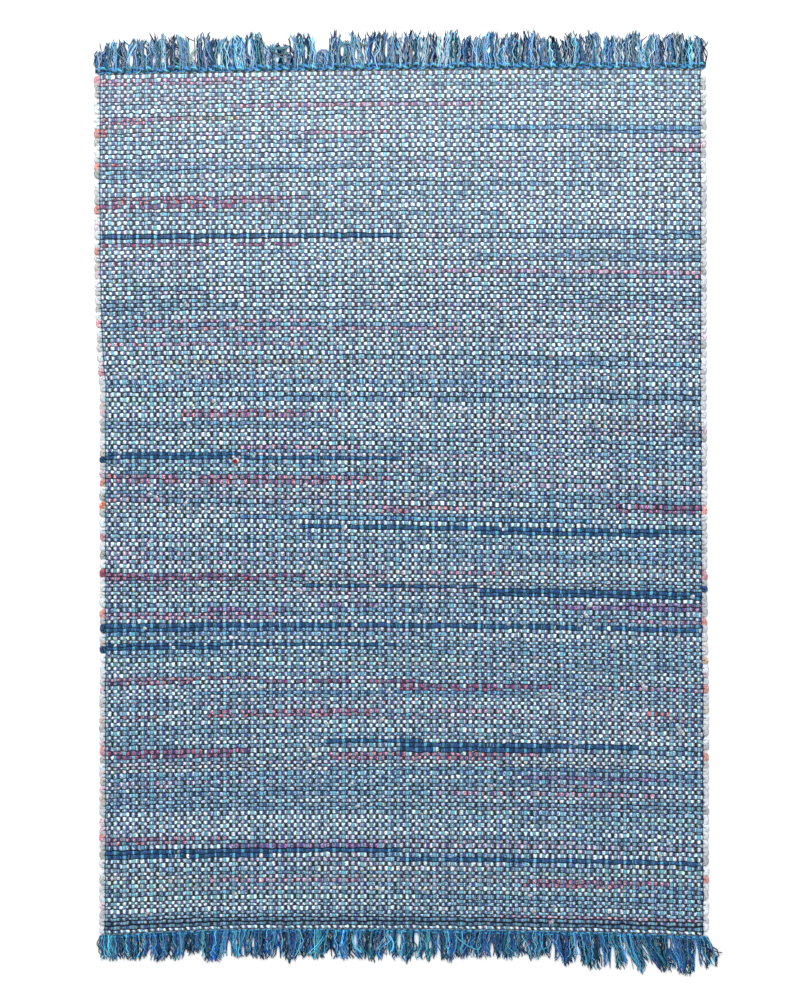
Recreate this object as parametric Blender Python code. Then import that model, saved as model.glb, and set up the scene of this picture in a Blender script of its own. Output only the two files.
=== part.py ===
"""Rag-woven cotton rug, laid flat: a plain-woven cloth with rag-loop selvedges, and at each short end
a twined heading with a loose warp fringe. The underside is at z = 0 and +Y runs towards the head end."""

import math
import random

import bmesh
import bpy

# Cloth between the two headings
CLOTH_WIDTH = 1.400
CLOTH_LENGTH = 1.956
WEFT_ROWS = 214
CROWN_HEIGHT = 0.0065
VALLEY_HEIGHT = 0.0047

# Rag loops outside the last warp yarn: each one turns round a pair of weft rows
LOOP_STRIP = 0.0125
LOOP_HEIGHT = 0.0052
LOOP_NECK_HEIGHT = 0.0036
LOOP_BULGE = 0.0022
LOOP_NECK = 0.0030
LOOP_UNEVEN = 0.0009
LOOP_UNEVEN_TURN = 2.3

# Headings and fringes
PART_GAP = 0.0003
HEAD_STRIP = 0.0140
FOOT_STRIP = 0.0090
STRIP_HEIGHT = 0.0056
LOCK_PITCH = 0.0105
ROOT_GAP = 0.0030
TIP_GAP = 0.0015
LOCK_HEIGHT_MIDDLE = 0.0046
LOCK_HEIGHT_TIP = 0.0028
END_ROUNDING = 0.06
END_RAGGEDNESS = 0.09
SWAY = 0.0035
SWAY_LENGTH = 0.31
SEED = 7

# Where the long edges lie in from the full width, going from the head end to the foot end
EDGE_COLUMNS = ("from_head", "left_inset", "right_inset")
EDGES = (
    (0.00, 0.000, 0.004),
    (0.40, 0.000, 0.003),
    (0.60, 0.005, 0.003),
    (0.75, 0.013, 0.002),
    (0.90, 0.016, 0.002),
    (1.40, 0.017, 0.001),
    (1.60, 0.018, 0.000),
    (1.956, 0.014, 0.000),
)

# How far each weft row hangs towards the foot end, against its left end
DRIFT_COLUMNS = ("from_head", "middle", "right")
DRIFTS = (
    (0.00, -0.010, -0.009),
    (0.12, -0.009, -0.008),
    (0.32, -0.005, -0.002),
    (0.70, -0.003, 0.006),
    (0.86, 0.001, 0.014),
    (1.00, 0.007, 0.021),
    (1.11, 0.003, 0.013),
    (1.22, -0.002, 0.011),
    (1.32, -0.003, 0.012),
    (1.42, -0.008, 0.005),
    (1.52, -0.010, 0.001),
    (1.73, -0.008, 0.004),
    (1.83, -0.006, 0.004),
    (1.956, -0.012, -0.004),
)
DRIFT_MIDDLE_AT = 0.42

# Clumps of fringe from left to right: where the roots start, where the ends start and stop, and how far
# they reach past the heading
CLUMP_COLUMNS = ("root", "tip_from", "tip_to", "reach")
HEAD_CLUMPS = (
    (-0.695, -0.689, -0.627, 0.058),
    (-0.620, -0.616, -0.577, 0.065),
    (-0.572, -0.572, -0.536, 0.072),
    (-0.531, -0.527, -0.483, 0.067),
    (-0.467, -0.467, -0.422, 0.071),
    (-0.420, -0.417, -0.389, 0.061),
    (-0.383, -0.386, -0.359, 0.066),
    (-0.351, -0.356, -0.317, 0.070),
    (-0.308, -0.311, -0.259, 0.046),
    (-0.249, -0.255, -0.201, 0.068),
    (-0.194, -0.192, -0.170, 0.026),
    (-0.162, -0.166, -0.140, 0.072),
    (-0.137, -0.134, -0.118, 0.053),
    (-0.107, -0.114, -0.093, 0.072),
    (-0.078, -0.075, -0.051, 0.069),
    (-0.052, -0.047, -0.030, 0.074),
    (-0.027, -0.026, -0.002, 0.069),
    (0.002, 0.006, 0.041, 0.072),
    (0.043, 0.048, 0.088, 0.066),
    (0.092, 0.097, 0.134, 0.071),
    (0.135, 0.141, 0.180, 0.060),
    (0.185, 0.187, 0.220, 0.069),
    (0.226, 0.228, 0.274, 0.065),
    (0.279, 0.281, 0.315, 0.073),
    (0.322, 0.320, 0.361, 0.058),
    (0.368, 0.369, 0.410, 0.068),
    (0.417, 0.417, 0.453, 0.071),
    (0.458, 0.463, 0.505, 0.062),
    (0.510, 0.515, 0.549, 0.070),
    (0.553, 0.556, 0.597, 0.064),
    (0.604, 0.603, 0.646, 0.069),
    (0.650, 0.652, 0.690, 0.060),
)
FOOT_CLUMPS = (
    (-0.688, -0.682, -0.637, 0.059),
    (-0.638, -0.634, -0.579, 0.058),
    (-0.577, -0.573, -0.533, 0.062),
    (-0.534, -0.529, -0.495, 0.060),
    (-0.490, -0.489, -0.457, 0.048),
    (-0.454, -0.452, -0.404, 0.066),
    (-0.394, -0.391, -0.352, 0.059),
    (-0.349, -0.348, -0.284, 0.063),
    (-0.278, -0.275, -0.237, 0.070),
    (-0.230, -0.233, -0.169, 0.064),
    (-0.160, -0.157, -0.116, 0.066),
    (-0.112, -0.105, -0.083, 0.064),
    (-0.082, -0.080, -0.039, 0.071),
    (-0.034, -0.034, -0.009, 0.066),
    (-0.005, -0.002, 0.027, 0.073),
    (0.039, 0.041, 0.075, 0.070),
    (0.082, 0.090, 0.124, 0.073),
    (0.125, 0.127, 0.161, 0.066),
    (0.166, 0.164, 0.203, 0.064),
    (0.212, 0.215, 0.273, 0.068),
    (0.278, 0.284, 0.337, 0.066),
    (0.340, 0.356, 0.391, 0.077),
    (0.397, 0.419, 0.455, 0.086),
    (0.451, 0.467, 0.486, 0.083),
    (0.474, 0.497, 0.521, 0.085),
    (0.506, 0.539, 0.563, 0.092),
    (0.547, 0.581, 0.626, 0.087),
    (0.611, 0.631, 0.668, 0.093),
    (0.668, 0.687, 0.725, 0.078),
)

ROW_LINES = 2 * WEFT_ROWS
LINE_PITCH = CLOTH_LENGTH / ROW_LINES
COLUMN_SPANS = 5
INNER_COLUMNS = {2: 0.42, 3: 0.76}
BAND_LINES = 44
HEAD, FOOT = 1, -1

CLOTH_BLUE = (0.36, 0.42, 0.50, 1.0)
FRINGE_BLUE = (0.05, 0.17, 0.36, 1.0)


def straight_between(xs, ys, x):
    """The height at x of the line through the points, level past its ends."""
    if x <= xs[0]:
        return ys[0]
    for x0, x1, y0, y1 in zip(xs[:-1], xs[1:], ys[:-1], ys[1:]):
        if x <= x1:
            return y0 + (x - x0) / (x1 - x0) * (y1 - y0)
    return ys[-1]


def read_table(rows, columns, name, from_head):
    """A named column's value at a distance from the head end."""
    at = columns.index(name)
    return straight_between([row[0] for row in rows], [row[at] for row in rows], from_head)


def long_edges(y):
    """The left and right edges of the cloth, rag loops included, at a place along it."""
    from_head = CLOTH_LENGTH / 2 - y
    left = -CLOTH_WIDTH / 2 + read_table(EDGES, EDGE_COLUMNS, "left_inset", from_head)
    right = CLOTH_WIDTH / 2 - read_table(EDGES, EDGE_COLUMNS, "right_inset", from_head)
    return left, right


def drift(x, y):
    """How far the weft row at y hangs towards the foot end at x: a curve through its middle and right."""
    from_head = CLOTH_LENGTH / 2 - y
    left, right = long_edges(y)
    across = (x - left) / (right - left)
    middle = read_table(DRIFTS, DRIFT_COLUMNS, "middle", from_head)
    end = read_table(DRIFTS, DRIFT_COLUMNS, "right", from_head)
    hump = across * (1 - across) / (DRIFT_MIDDLE_AT * (1 - DRIFT_MIDDLE_AT))
    ramp = across * (across - DRIFT_MIDDLE_AT) / (1 - DRIFT_MIDDLE_AT)
    return middle * hump + end * ramp


def loop_point(side, line, edge):
    """The outer point of a rag loop: out at the turn, in at the neck between two pairs of rows."""
    phase = line % 4 if side < 0 else (line + 2) % 4
    inset = LOOP_UNEVEN * (1 + math.sin(LOOP_UNEVEN_TURN * line))
    if phase == 0:
        return edge - side * (LOOP_BULGE + LOOP_NECK + inset), LOOP_NECK_HEIGHT
    if phase != 2:
        inset += LOOP_BULGE
    return edge - side * inset, LOOP_HEIGHT


def cloth_point(column, line):
    """A point of the cloth's face: column 0 to 5 from left to right, line 0 at the foot end."""
    y = -CLOTH_LENGTH / 2 + line * LINE_PITCH
    left, right = long_edges(y)
    z = CROWN_HEIGHT if line % 2 else VALLEY_HEIGHT
    if column == 0:
        x, z = loop_point(-1, line, left)
    elif column == COLUMN_SPANS:
        x, z = loop_point(1, line, right)
    elif column == 1:
        x = left + LOOP_STRIP
    elif column == COLUMN_SPANS - 1:
        x = right - LOOP_STRIP
    else:
        x = left + INNER_COLUMNS[column] * (right - left)
    return x, y - drift(x, y), z


def new_material(name, color, roughness):
    material = bpy.data.materials.new(name)
    material.use_nodes = True
    shader = material.node_tree.nodes["Principled BSDF"]
    shader.inputs["Base Color"].default_value = color
    shader.inputs["Roughness"].default_value = roughness
    shader.inputs["Metallic"].default_value = 0.0
    return material


def add_object(name, bm, material, collection):
    """Puts a finished bmesh into a named object with its material."""
    bmesh.ops.recalc_face_normals(bm, faces=bm.faces)
    mesh = bpy.data.meshes.new(name)
    bm.to_mesh(mesh)
    bm.free()
    mesh.materials.append(material)
    made = bpy.data.objects.new(name, mesh)
    collection.objects.link(made)
    return made


def extrude_flat(bm, faces, height):
    """Extrudes faces straight to a height and gives the new faces and points."""
    grown = bmesh.ops.extrude_face_region(bm, geom=faces)["geom"]
    points = [item for item in grown if isinstance(item, bmesh.types.BMVert)]
    for point in points:
        point.co.z = height
    return [item for item in grown if isinstance(item, bmesh.types.BMFace)]


def make_cloth(material, collection):
    """One flat-bottomed sheet: a grid with a raised rib for each weft row and a scallop for each rag loop."""
    bm = bmesh.new()
    bmesh.ops.create_grid(bm, x_segments=COLUMN_SPANS, y_segments=ROW_LINES, size=0.5)
    for point in bm.verts:
        column = round((point.co.x + 0.5) * COLUMN_SPANS)
        line = round((point.co.y + 0.5) * ROW_LINES)
        point.co = cloth_point(column, line)
    underside = extrude_flat(bm, bm.faces[:], 0.0)
    bands = {}
    for face in underside:
        line = (face.calc_center_median().y + CLOTH_LENGTH / 2) / LINE_PITCH
        bands.setdefault(int(line // BAND_LINES), []).append(face)
    for faces in bands.values():
        joined = bmesh.ops.dissolve_faces(bm, faces=faces, use_verts=False)["region"]
        bmesh.ops.triangulate(bm, faces=joined, ngon_method="BEAUTY")
    return add_object("rug_body", bm, material, collection)


def plan_locks(clumps, right_end, chance):
    """Shares each clump's width out between its locks: root, middle and tip centres, widths and reach."""
    locks = []
    rows = [dict(zip(CLUMP_COLUMNS, clump)) for clump in clumps]
    root_ends = [row["root"] for row in rows[1:]] + [right_end]
    for row, root_end in zip(rows, root_ends):
        reach = row["reach"]
        count = max(2, round((root_end - row["root"]) / LOCK_PITCH))
        root_step = (root_end - row["root"]) / count
        tip_step = (row["tip_to"] - row["tip_from"]) / count
        for place in range(count):
            from_middle = (place + 0.5) / count * 2 - 1
            root_x = row["root"] + (place + 0.5) * root_step
            tip_x = row["tip_from"] + (place + 0.5) * tip_step
            middle_x = (root_x + tip_x) / 2 + SWAY * math.sin(2 * math.pi * root_x / SWAY_LENGTH)
            root_width = root_step - ROOT_GAP
            middle_width = (root_width + tip_step - TIP_GAP) / 2
            cut = END_ROUNDING * from_middle**2 + chance.uniform(0, END_RAGGEDNESS)
            along = 1 - 2 * cut
            locks.append(
                {
                    "root_x": root_x,
                    "middle_x": middle_x,
                    "tip_x": middle_x + (tip_x - middle_x) * along,
                    "root_width": root_width,
                    "middle_width": middle_width,
                    "tip_width": middle_width + (tip_step - TIP_GAP - middle_width) * along,
                    "middle_reach": reach / 2,
                    "reach": reach * (1 - cut),
                }
            )
    return locks


def end_line(way):
    """The cloth's short edge as x and y lists, for the heading that lies along it."""
    line = ROW_LINES if way == HEAD else 0
    points = [cloth_point(column, line) for column in range(COLUMN_SPANS + 1)]
    return [point[0] for point in points], [point[1] for point in points]


def grow_lock(bm, root_face, lock, way, root_y):
    """Extrudes a root face twice, to the lock's middle and tip, with its underside level on the floor."""
    stations = (
        (lock["middle_x"], lock["middle_width"], lock["middle_reach"], LOCK_HEIGHT_MIDDLE),
        (lock["tip_x"], lock["tip_width"], lock["reach"], LOCK_HEIGHT_TIP),
    )
    face = root_face
    for centre, width, reach, height in stations:
        face = bmesh.ops.extrude_discrete_faces(bm, faces=[face])["faces"][0]
        middle_x = face.calc_center_median().x
        for point in face.verts:
            side = 1 if point.co.x > middle_x else -1
            top = height if point.co.z > 0.0 else 0.0
            point.co = (centre + side * width / 2, root_y + way * reach, top)


def make_fringe(name, way, strip_width, clumps, material, collection):
    """A narrow heading strip along the cloth's short edge, with a lock grown from each root face."""
    xs, ys = end_line(way)
    right_end = xs[-1] - LOOP_BULGE
    locks = plan_locks(clumps, right_end, random.Random(SEED + way))
    inner = way * PART_GAP
    outer = way * (PART_GAP + strip_width)
    strip_left = clumps[0][0]
    bm = bmesh.new()
    inner_xs = [strip_left] + xs[1:-1] + [right_end]
    outer_xs = [strip_left]
    for lock in locks:
        outer_xs += [lock["root_x"] - lock["root_width"] / 2, lock["root_x"] + lock["root_width"] / 2]
    outer_xs.append(right_end)
    outer_points = [bm.verts.new((x, straight_between(xs, ys, x) + outer, 0)) for x in outer_xs]
    inner_points = [bm.verts.new((x, straight_between(xs, ys, x) + inner, 0)) for x in inner_xs]
    underside = bm.faces.new(outer_points + inner_points[::-1])
    top = extrude_flat(bm, [underside], STRIP_HEIGHT)[0]
    for number, lock in enumerate(locks):
        left_point, right_point = outer_points[1 + 2 * number], outer_points[2 + 2 * number]
        edge = bm.edges.get((left_point, right_point))
        root_face = next(face for face in edge.link_faces if face is not underside)
        root_y = straight_between(xs, ys, lock["root_x"]) + outer
        grow_lock(bm, root_face, lock, way, root_y)
    bmesh.ops.triangulate(bm, faces=[underside, top], ngon_method="BEAUTY")
    return add_object(name, bm, material, collection)


def main():
    for old in list(bpy.data.objects):
        bpy.data.objects.remove(old, do_unlink=True)
    collection = bpy.data.collections.new("cotton_rug")
    bpy.context.scene.collection.children.link(collection)
    cloth_material = new_material("rag_weave", CLOTH_BLUE, 0.95)
    fringe_material = new_material("blue_warp_yarn", FRINGE_BLUE, 0.95)
    make_cloth(cloth_material, collection)
    make_fringe("fringe_head", HEAD, HEAD_STRIP, HEAD_CLUMPS, fringe_material, collection)
    make_fringe("fringe_foot", FOOT, FOOT_STRIP, FOOT_CLUMPS, fringe_material, collection)


main()
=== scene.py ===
"""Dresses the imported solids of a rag-woven cotton rug: the weave, the rag-loop selvedges, the twined
headings, the warp fringes, the frayed threads and a plain studio. Metres, +Z up, +Y towards the head end."""

import math

import bpy
import numpy as np
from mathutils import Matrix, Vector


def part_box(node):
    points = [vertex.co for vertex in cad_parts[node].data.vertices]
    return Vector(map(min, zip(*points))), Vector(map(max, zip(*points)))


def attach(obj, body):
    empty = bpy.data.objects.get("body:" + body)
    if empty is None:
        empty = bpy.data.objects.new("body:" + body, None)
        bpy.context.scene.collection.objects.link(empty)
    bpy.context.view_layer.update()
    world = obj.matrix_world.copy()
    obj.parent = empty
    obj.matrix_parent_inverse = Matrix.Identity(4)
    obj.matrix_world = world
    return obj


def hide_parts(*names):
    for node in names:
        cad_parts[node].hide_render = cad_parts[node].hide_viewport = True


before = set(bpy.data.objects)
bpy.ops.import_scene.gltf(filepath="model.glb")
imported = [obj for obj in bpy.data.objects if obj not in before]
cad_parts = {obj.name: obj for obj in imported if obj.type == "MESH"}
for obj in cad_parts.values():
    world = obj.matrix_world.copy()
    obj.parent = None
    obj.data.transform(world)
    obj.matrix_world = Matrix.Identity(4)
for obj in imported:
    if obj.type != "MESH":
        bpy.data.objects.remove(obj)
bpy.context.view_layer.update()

bl_info = {
    "name": "Cotton rag rug",
    "version": (1, 0, 0),
    "blender": (4, 5, 0),
    "location": "3D View > Sidebar > Rag rug",
    "description": "Weaves a flat rag rug with rag-loop selvedges, twined headings and a loose warp fringe",
    "category": "Add Mesh",
}

BODY_LOW, BODY_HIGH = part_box("rug_body")
SEED = 11

# The photograph's frame: one pixel of its 800 by 1000, and the pixel of the rug's own origin
PIXEL = 0.00228
PHOTO_WIDTH_PX = 800
PHOTO_HEIGHT_PX = 1000
ORIGIN_X_PX = 401
ORIGIN_Y_PX = 502

# Where the long edges lie in from the full width, going from the head end to the foot end
EDGE_COLUMNS = ("from_head", "left_inset", "right_inset")
EDGES = (
    (0.00, -0.001, 0.003),
    (0.42, -0.001, 0.002),
    (0.60, 0.004, 0.002),
    (0.67, 0.008, 0.002),
    (0.72, 0.0125, 0.002),
    (0.90, 0.0115, 0.001),
    (1.28, 0.0120, 0.000),
    (1.38, 0.0120, -0.003),
    (1.956, 0.0110, -0.003),
)

# How far each weft row hangs towards the foot end, against its left end
DRIFT_COLUMNS = ("from_head", "middle", "right")
DRIFTS = (
    (0.00, -0.010, -0.009),
    (0.12, -0.009, -0.008),
    (0.32, -0.005, -0.002),
    (0.70, -0.003, 0.006),
    (0.86, 0.001, 0.014),
    (1.00, 0.007, 0.021),
    (1.11, 0.003, 0.013),
    (1.22, -0.002, 0.011),
    (1.32, -0.003, 0.012),
    (1.42, -0.008, 0.005),
    (1.52, -0.010, 0.001),
    (1.73, -0.008, 0.004),
    (1.83, -0.006, 0.004),
    (1.956, -0.012, -0.004),
)
DRIFT_MIDDLE_AT = 0.42

# How much further the first and last rows hang, by the share of the way across; it fades over END_REACH
END_COLUMNS = ("across", "head", "foot")
END_SLIPS = (
    (0.00, 0.0045, 0.0080),
    (0.21, 0.0050, 0.0025),
    (0.33, 0.0050, 0.0046),
    (0.58, 0.0040, 0.0080),
    (0.81, 0.0030, 0.0110),
    (1.00, 0.0020, 0.0150),
)
END_REACH = 0.25

# Clumps of fringe from left to right: where the roots start, where the ends start and stop, and how far
# they reach past the heading
CLUMP_COLUMNS = ("root", "tip_from", "tip_to", "reach")
HEAD_CLUMPS = (
    (-0.697, -0.694, -0.676, 0.038),
    (-0.679, -0.675, -0.627, 0.060),
    (-0.620, -0.616, -0.577, 0.065),
    (-0.572, -0.572, -0.536, 0.072),
    (-0.531, -0.527, -0.483, 0.067),
    (-0.467, -0.467, -0.422, 0.071),
    (-0.420, -0.417, -0.389, 0.061),
    (-0.383, -0.386, -0.359, 0.066),
    (-0.351, -0.356, -0.317, 0.070),
    (-0.308, -0.311, -0.259, 0.046),
    (-0.249, -0.255, -0.201, 0.068),
    (-0.194, -0.192, -0.170, 0.026),
    (-0.162, -0.166, -0.140, 0.072),
    (-0.137, -0.134, -0.118, 0.053),
    (-0.107, -0.114, -0.093, 0.072),
    (-0.078, -0.075, -0.051, 0.069),
    (-0.052, -0.047, -0.030, 0.074),
    (-0.027, -0.026, -0.002, 0.069),
    (0.002, 0.006, 0.041, 0.072),
    (0.043, 0.048, 0.088, 0.066),
    (0.092, 0.097, 0.134, 0.071),
    (0.135, 0.141, 0.180, 0.060),
    (0.185, 0.187, 0.220, 0.069),
    (0.226, 0.228, 0.274, 0.065),
    (0.279, 0.281, 0.315, 0.073),
    (0.322, 0.320, 0.361, 0.058),
    (0.368, 0.369, 0.410, 0.068),
    (0.417, 0.417, 0.453, 0.071),
    (0.458, 0.463, 0.505, 0.062),
    (0.510, 0.515, 0.549, 0.070),
    (0.553, 0.556, 0.597, 0.064),
    (0.604, 0.603, 0.646, 0.069),
    (0.650, 0.652, 0.690, 0.060),
)
FOOT_CLUMPS = (
    (-0.688, -0.682, -0.637, 0.059),
    (-0.638, -0.634, -0.579, 0.058),
    (-0.577, -0.573, -0.533, 0.062),
    (-0.534, -0.529, -0.495, 0.060),
    (-0.490, -0.489, -0.457, 0.048),
    (-0.454, -0.452, -0.404, 0.066),
    (-0.394, -0.391, -0.352, 0.059),
    (-0.349, -0.348, -0.284, 0.063),
    (-0.278, -0.275, -0.237, 0.070),
    (-0.230, -0.233, -0.169, 0.064),
    (-0.160, -0.157, -0.116, 0.066),
    (-0.112, -0.105, -0.083, 0.064),
    (-0.082, -0.080, -0.039, 0.071),
    (-0.034, -0.034, -0.009, 0.066),
    (-0.005, -0.002, 0.027, 0.073),
    (0.039, 0.041, 0.075, 0.070),
    (0.082, 0.090, 0.124, 0.073),
    (0.125, 0.127, 0.161, 0.066),
    (0.166, 0.164, 0.203, 0.064),
    (0.212, 0.215, 0.273, 0.068),
    (0.278, 0.284, 0.337, 0.066),
    (0.340, 0.356, 0.391, 0.077),
    (0.397, 0.419, 0.455, 0.086),
    (0.451, 0.467, 0.486, 0.083),
    (0.474, 0.497, 0.521, 0.085),
    (0.506, 0.539, 0.563, 0.092),
    (0.547, 0.581, 0.626, 0.087),
    (0.611, 0.631, 0.668, 0.093),
    (0.668, 0.687, 0.725, 0.078),
)

# Places in the fringe where the floor shows between the yarns, in pixels
HOLE_COLUMNS = ("x", "y", "half_width", "half_length")
HEAD_HOLES = (
    (177, 53, 2.3, 7),
    (191.5, 40, 2.8, 23),
    (219, 59, 1.7, 8),
    (131, 58, 2.2, 9),
    (145, 50, 1.4, 7),
    (163, 60, 1.5, 5),
    (277, 58, 1.6, 4),
    (285, 58, 1.6, 5),
    (288, 47, 1.8, 8),
    (249, 46, 1.4, 9),
    (306, 52, 1.5, 8),
    (328, 44, 1.4, 9),
    (342, 50, 2.0, 7),
    (356, 55, 1.5, 7),
    (386, 50, 1.4, 8),
)
FOOT_HOLES = (
    (229, 950, 2.4, 11),
    (243, 950, 1.5, 7),
    (253, 944, 1.4, 7),
    (278, 963, 2.4, 18),
    (355, 942, 1.9, 9),
    (399, 940, 1.9, 8),
    (416.5, 941, 2.4, 13),
    (430, 945, 1.3, 6),
    (439, 954, 2.0, 10),
    (492, 950, 1.9, 8),
    (553, 953, 2.2, 10),
    (579, 956, 1.8, 7),
    (613, 963, 2.6, 18),
    (669, 943, 1.5, 7),
    (697, 968, 2.4, 22),
)

# Single yarns that lie across the fringe: where they start and end in pixels, how far they bend aside,
# how many run together, and their colour
STRAND_COLUMNS = ("from_x", "from_y", "to_x", "to_y", "bend", "yarns", "tone")
HEAD_STRANDS = (
    (108, 47, 130, 66, 1.0, 1, 0),
    (136, 41, 148, 64, -1.6, 1, 0),
    (127, 66, 137, 44, 1.4, 2, 5),
    (191, 65, 198, 48, 3.0, 3, 2),
    (176, 52, 188, 63, -2.6, 3, 1),
    (171, 58, 184, 66, -2.0, 2, 0),
    (267, 47, 289, 47, -2.4, 3, 0),
    (270, 50, 288, 53, -3.4, 2, 2),
    (275, 54, 291, 57, -2.6, 2, 5),
    (316, 57, 328, 51, 3.0, 3, 1),
    (339, 48, 353, 46, 3.4, 2, 0),
    (359, 49, 369, 46, 2.4, 2, 2),
    (226, 44, 246, 64, 1.5, 1, 5),
    (205, 40, 214, 62, -1.8, 1, 0),
    (374, 40, 382, 62, 1.6, 1, 0),
    (301, 38, 312, 60, -1.6, 1, 0),
)
FOOT_STRANDS = (
    (327, 934, 310, 955, 1.0, 1, 0),
    (325, 933, 307, 954, 1.6, 1, 0),
    (413, 941, 410, 953, 5.0, 2, 2),
    (300, 935, 294, 957, 2.4, 1, 0),
    (352, 934, 362, 953, -3.4, 2, 0),
    (388, 935, 390, 953, 4.0, 2, 0),
    (428, 934, 436, 955, 2.6, 1, 5),
    (455, 935, 478, 950, -2.0, 1, 0),
    (470, 936, 462, 952, 1.8, 1, 5),
    (436, 944, 444, 960, 1.0, 1, 2),
    (236, 936, 246, 955, 2.0, 1, 0),
    (262, 936, 255, 957, 1.8, 1, 0),
    (160, 936, 168, 955, -1.6, 1, 0),
    (196, 937, 188, 956, 2.0, 1, 5),
    (573, 955, 584, 957, 2.0, 1, 1),
    (521, 936, 531, 958, 2.2, 1, 0),
    (640, 938, 652, 964, 2.0, 1, 0),
    (696, 938, 723, 953, -3.0, 1, 1),
)

# Rag cloths: the ground and its print in linear colour, and how much of the ground the print covers
RAG_COLUMNS = ("name", "ground", "print", "cover")
RAGS = (
    ("white", (0.83, 0.90, 0.95), (0.54, 0.68, 0.82), 0.14),
    ("grey_print", (0.61, 0.71, 0.78), (0.15, 0.26, 0.38), 0.36),
    ("orange_print", (0.80, 0.80, 0.79), (0.52, 0.28, 0.20), 0.22),
    ("blue_print", (0.62, 0.73, 0.82), (0.08, 0.20, 0.42), 0.40),
    ("pink_print", (0.77, 0.75, 0.84), (0.52, 0.16, 0.30), 0.30),
    ("lime_print", (0.70, 0.84, 0.79), (0.46, 0.60, 0.24), 0.14),
    ("pink", (0.70, 0.25, 0.34), (0.84, 0.76, 0.80), 0.36),
    ("coral", (0.56, 0.11, 0.15), (0.82, 0.60, 0.64), 0.38),
    ("crimson", (0.42, 0.05, 0.11), (0.66, 0.38, 0.48), 0.32),
    ("salmon", (0.76, 0.31, 0.29), (0.86, 0.68, 0.66), 0.30),
    ("grey", (0.46, 0.50, 0.53), (0.66, 0.70, 0.72), 0.40),
    ("red", (0.66, 0.02, 0.04), (0.74, 0.20, 0.22), 0.16),
    ("orange", (0.82, 0.17, 0.09), (0.88, 0.56, 0.46), 0.32),
    ("tan", (0.46, 0.33, 0.20), (0.74, 0.68, 0.60), 0.40),
    ("purple", (0.34, 0.08, 0.26), (0.60, 0.46, 0.64), 0.36),
    ("blue", (0.09, 0.24, 0.50), (0.46, 0.62, 0.80), 0.44),
    ("navy", (0.014, 0.038, 0.15), (0.06, 0.20, 0.34), 0.34),
)
RAG_NAMES = [row[RAG_COLUMNS.index("name")] for row in RAGS]

# The shares in which the cloths are drawn, which change along the rug; the rest come in the streaks
ZONE_COLUMNS = ("from_head", "shade", "white", "grey_print", "orange_print", "blue_print", "pink_print",
                "lime_print", "pink", "tan", "purple", "blue")
ZONES = (
    (0.00, 0.96, 78, 5, 6, 2, 5, 3, 1.0, 0.5, 0.0, 0.5),
    (0.38, 1.00, 70, 9, 6, 4, 5, 3, 1.0, 0.5, 0.0, 0.5),
    (0.72, 0.98, 56, 16, 6, 9, 5, 3, 1.0, 0.5, 0.0, 1.5),
    (0.84, 0.98, 44, 25, 5, 13, 6, 3, 1.0, 0.5, 0.2, 1.5),
    (1.956, 0.98, 40, 28, 5, 14, 6, 3, 1.0, 0.5, 0.2, 1.5),
)

# Lengths of coloured rag that show as streaks: ends and left-end height in pixels, and rows of weft
STREAK_COLUMNS = ("left", "right", "y", "rows", "rag")
STREAKS = (
    (94, 280, 81, 2, "pink"),
    (324, 343, 106, 1, "coral"),
    (94, 180, 120, 2, "coral"),
    (180, 250, 120, 1, "tan"),
    (94, 112, 132, 2, "orange"),
    (133, 300, 135, 1, "pink_print"),
    (91, 121, 166, 1, "coral"),
    (121, 230, 166, 1, "pink_print"),
    (112, 304, 200, 2, "coral"),
    (92, 236, 207, 1, "crimson"),
    (92, 400, 237, 1, "navy"),
    (92, 299, 244, 1, "crimson"),
    (144, 310, 322, 1, "pink"),
    (104, 316, 344, 1, "pink"),
    (98, 260, 376, 1, "pink_print"),
    (180, 339, 410, 2, "coral"),
    (238, 360, 448, 1, "pink"),
    (100, 240, 455, 2, "navy"),
    (240, 400, 458, 1, "navy"),
    (100, 390, 477, 2, "coral"),
    (100, 300, 485, 1, "pink_print"),
    (100, 165, 502, 1, "pink"),
    (251, 325, 500, 1, "pink_print"),
    (362, 412, 508, 1, "pink"),
    (408, 484, 506, 1, "salmon"),
    (380, 412, 510, 1, "coral"),
    (617, 706, 507, 2, "crimson"),
    (303, 480, 525, 1, "navy"),
    (480, 706, 528, 2, "navy"),
    (100, 210, 540, 1, "pink_print"),
    (426, 508, 572, 1, "pink"),
    (98, 318, 574, 2, "crimson"),
    (318, 383, 575, 1, "pink"),
    (205, 284, 609, 2, "purple"),
    (321, 383, 607, 1, "purple"),
    (303, 480, 586, 1, "navy"),
    (480, 706, 589, 2, "navy"),
    (98, 275, 616, 2, "pink"),
    (595, 703, 619, 1, "pink"),
    (100, 249, 625, 2, "navy"),
    (249, 400, 627, 1, "navy"),
    (400, 700, 627, 1, "navy"),
    (100, 232, 645, 2, "navy"),
    (232, 400, 644, 1, "navy"),
    (104, 262, 680, 2, "coral"),
    (262, 420, 681, 1, "crimson"),
    (400, 552, 684, 2, "crimson"),
    (595, 703, 686, 1, "pink"),
    (119, 156, 716, 1, "coral"),
    (206, 379, 711, 2, "coral"),
    (428, 517, 712, 1, "pink"),
    (649, 669, 714, 1, "orange"),
    (325, 420, 742, 1, "navy"),
    (400, 595, 744, 2, "navy"),
    (595, 640, 746, 1, "navy"),
    (102, 253, 754, 2, "crimson"),
    (329, 539, 752, 2, "coral"),
    (439, 660, 793, 1, "pink"),
    (100, 230, 839, 2, "coral"),
    (230, 380, 846, 1, "purple"),
    (100, 400, 853, 2, "navy"),
    (400, 700, 858, 1, "navy"),
    (209, 360, 882, 1, "pink"),
    (523, 672, 880, 2, "coral"),
    (500, 700, 918, 1, "pink"),
)

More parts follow.
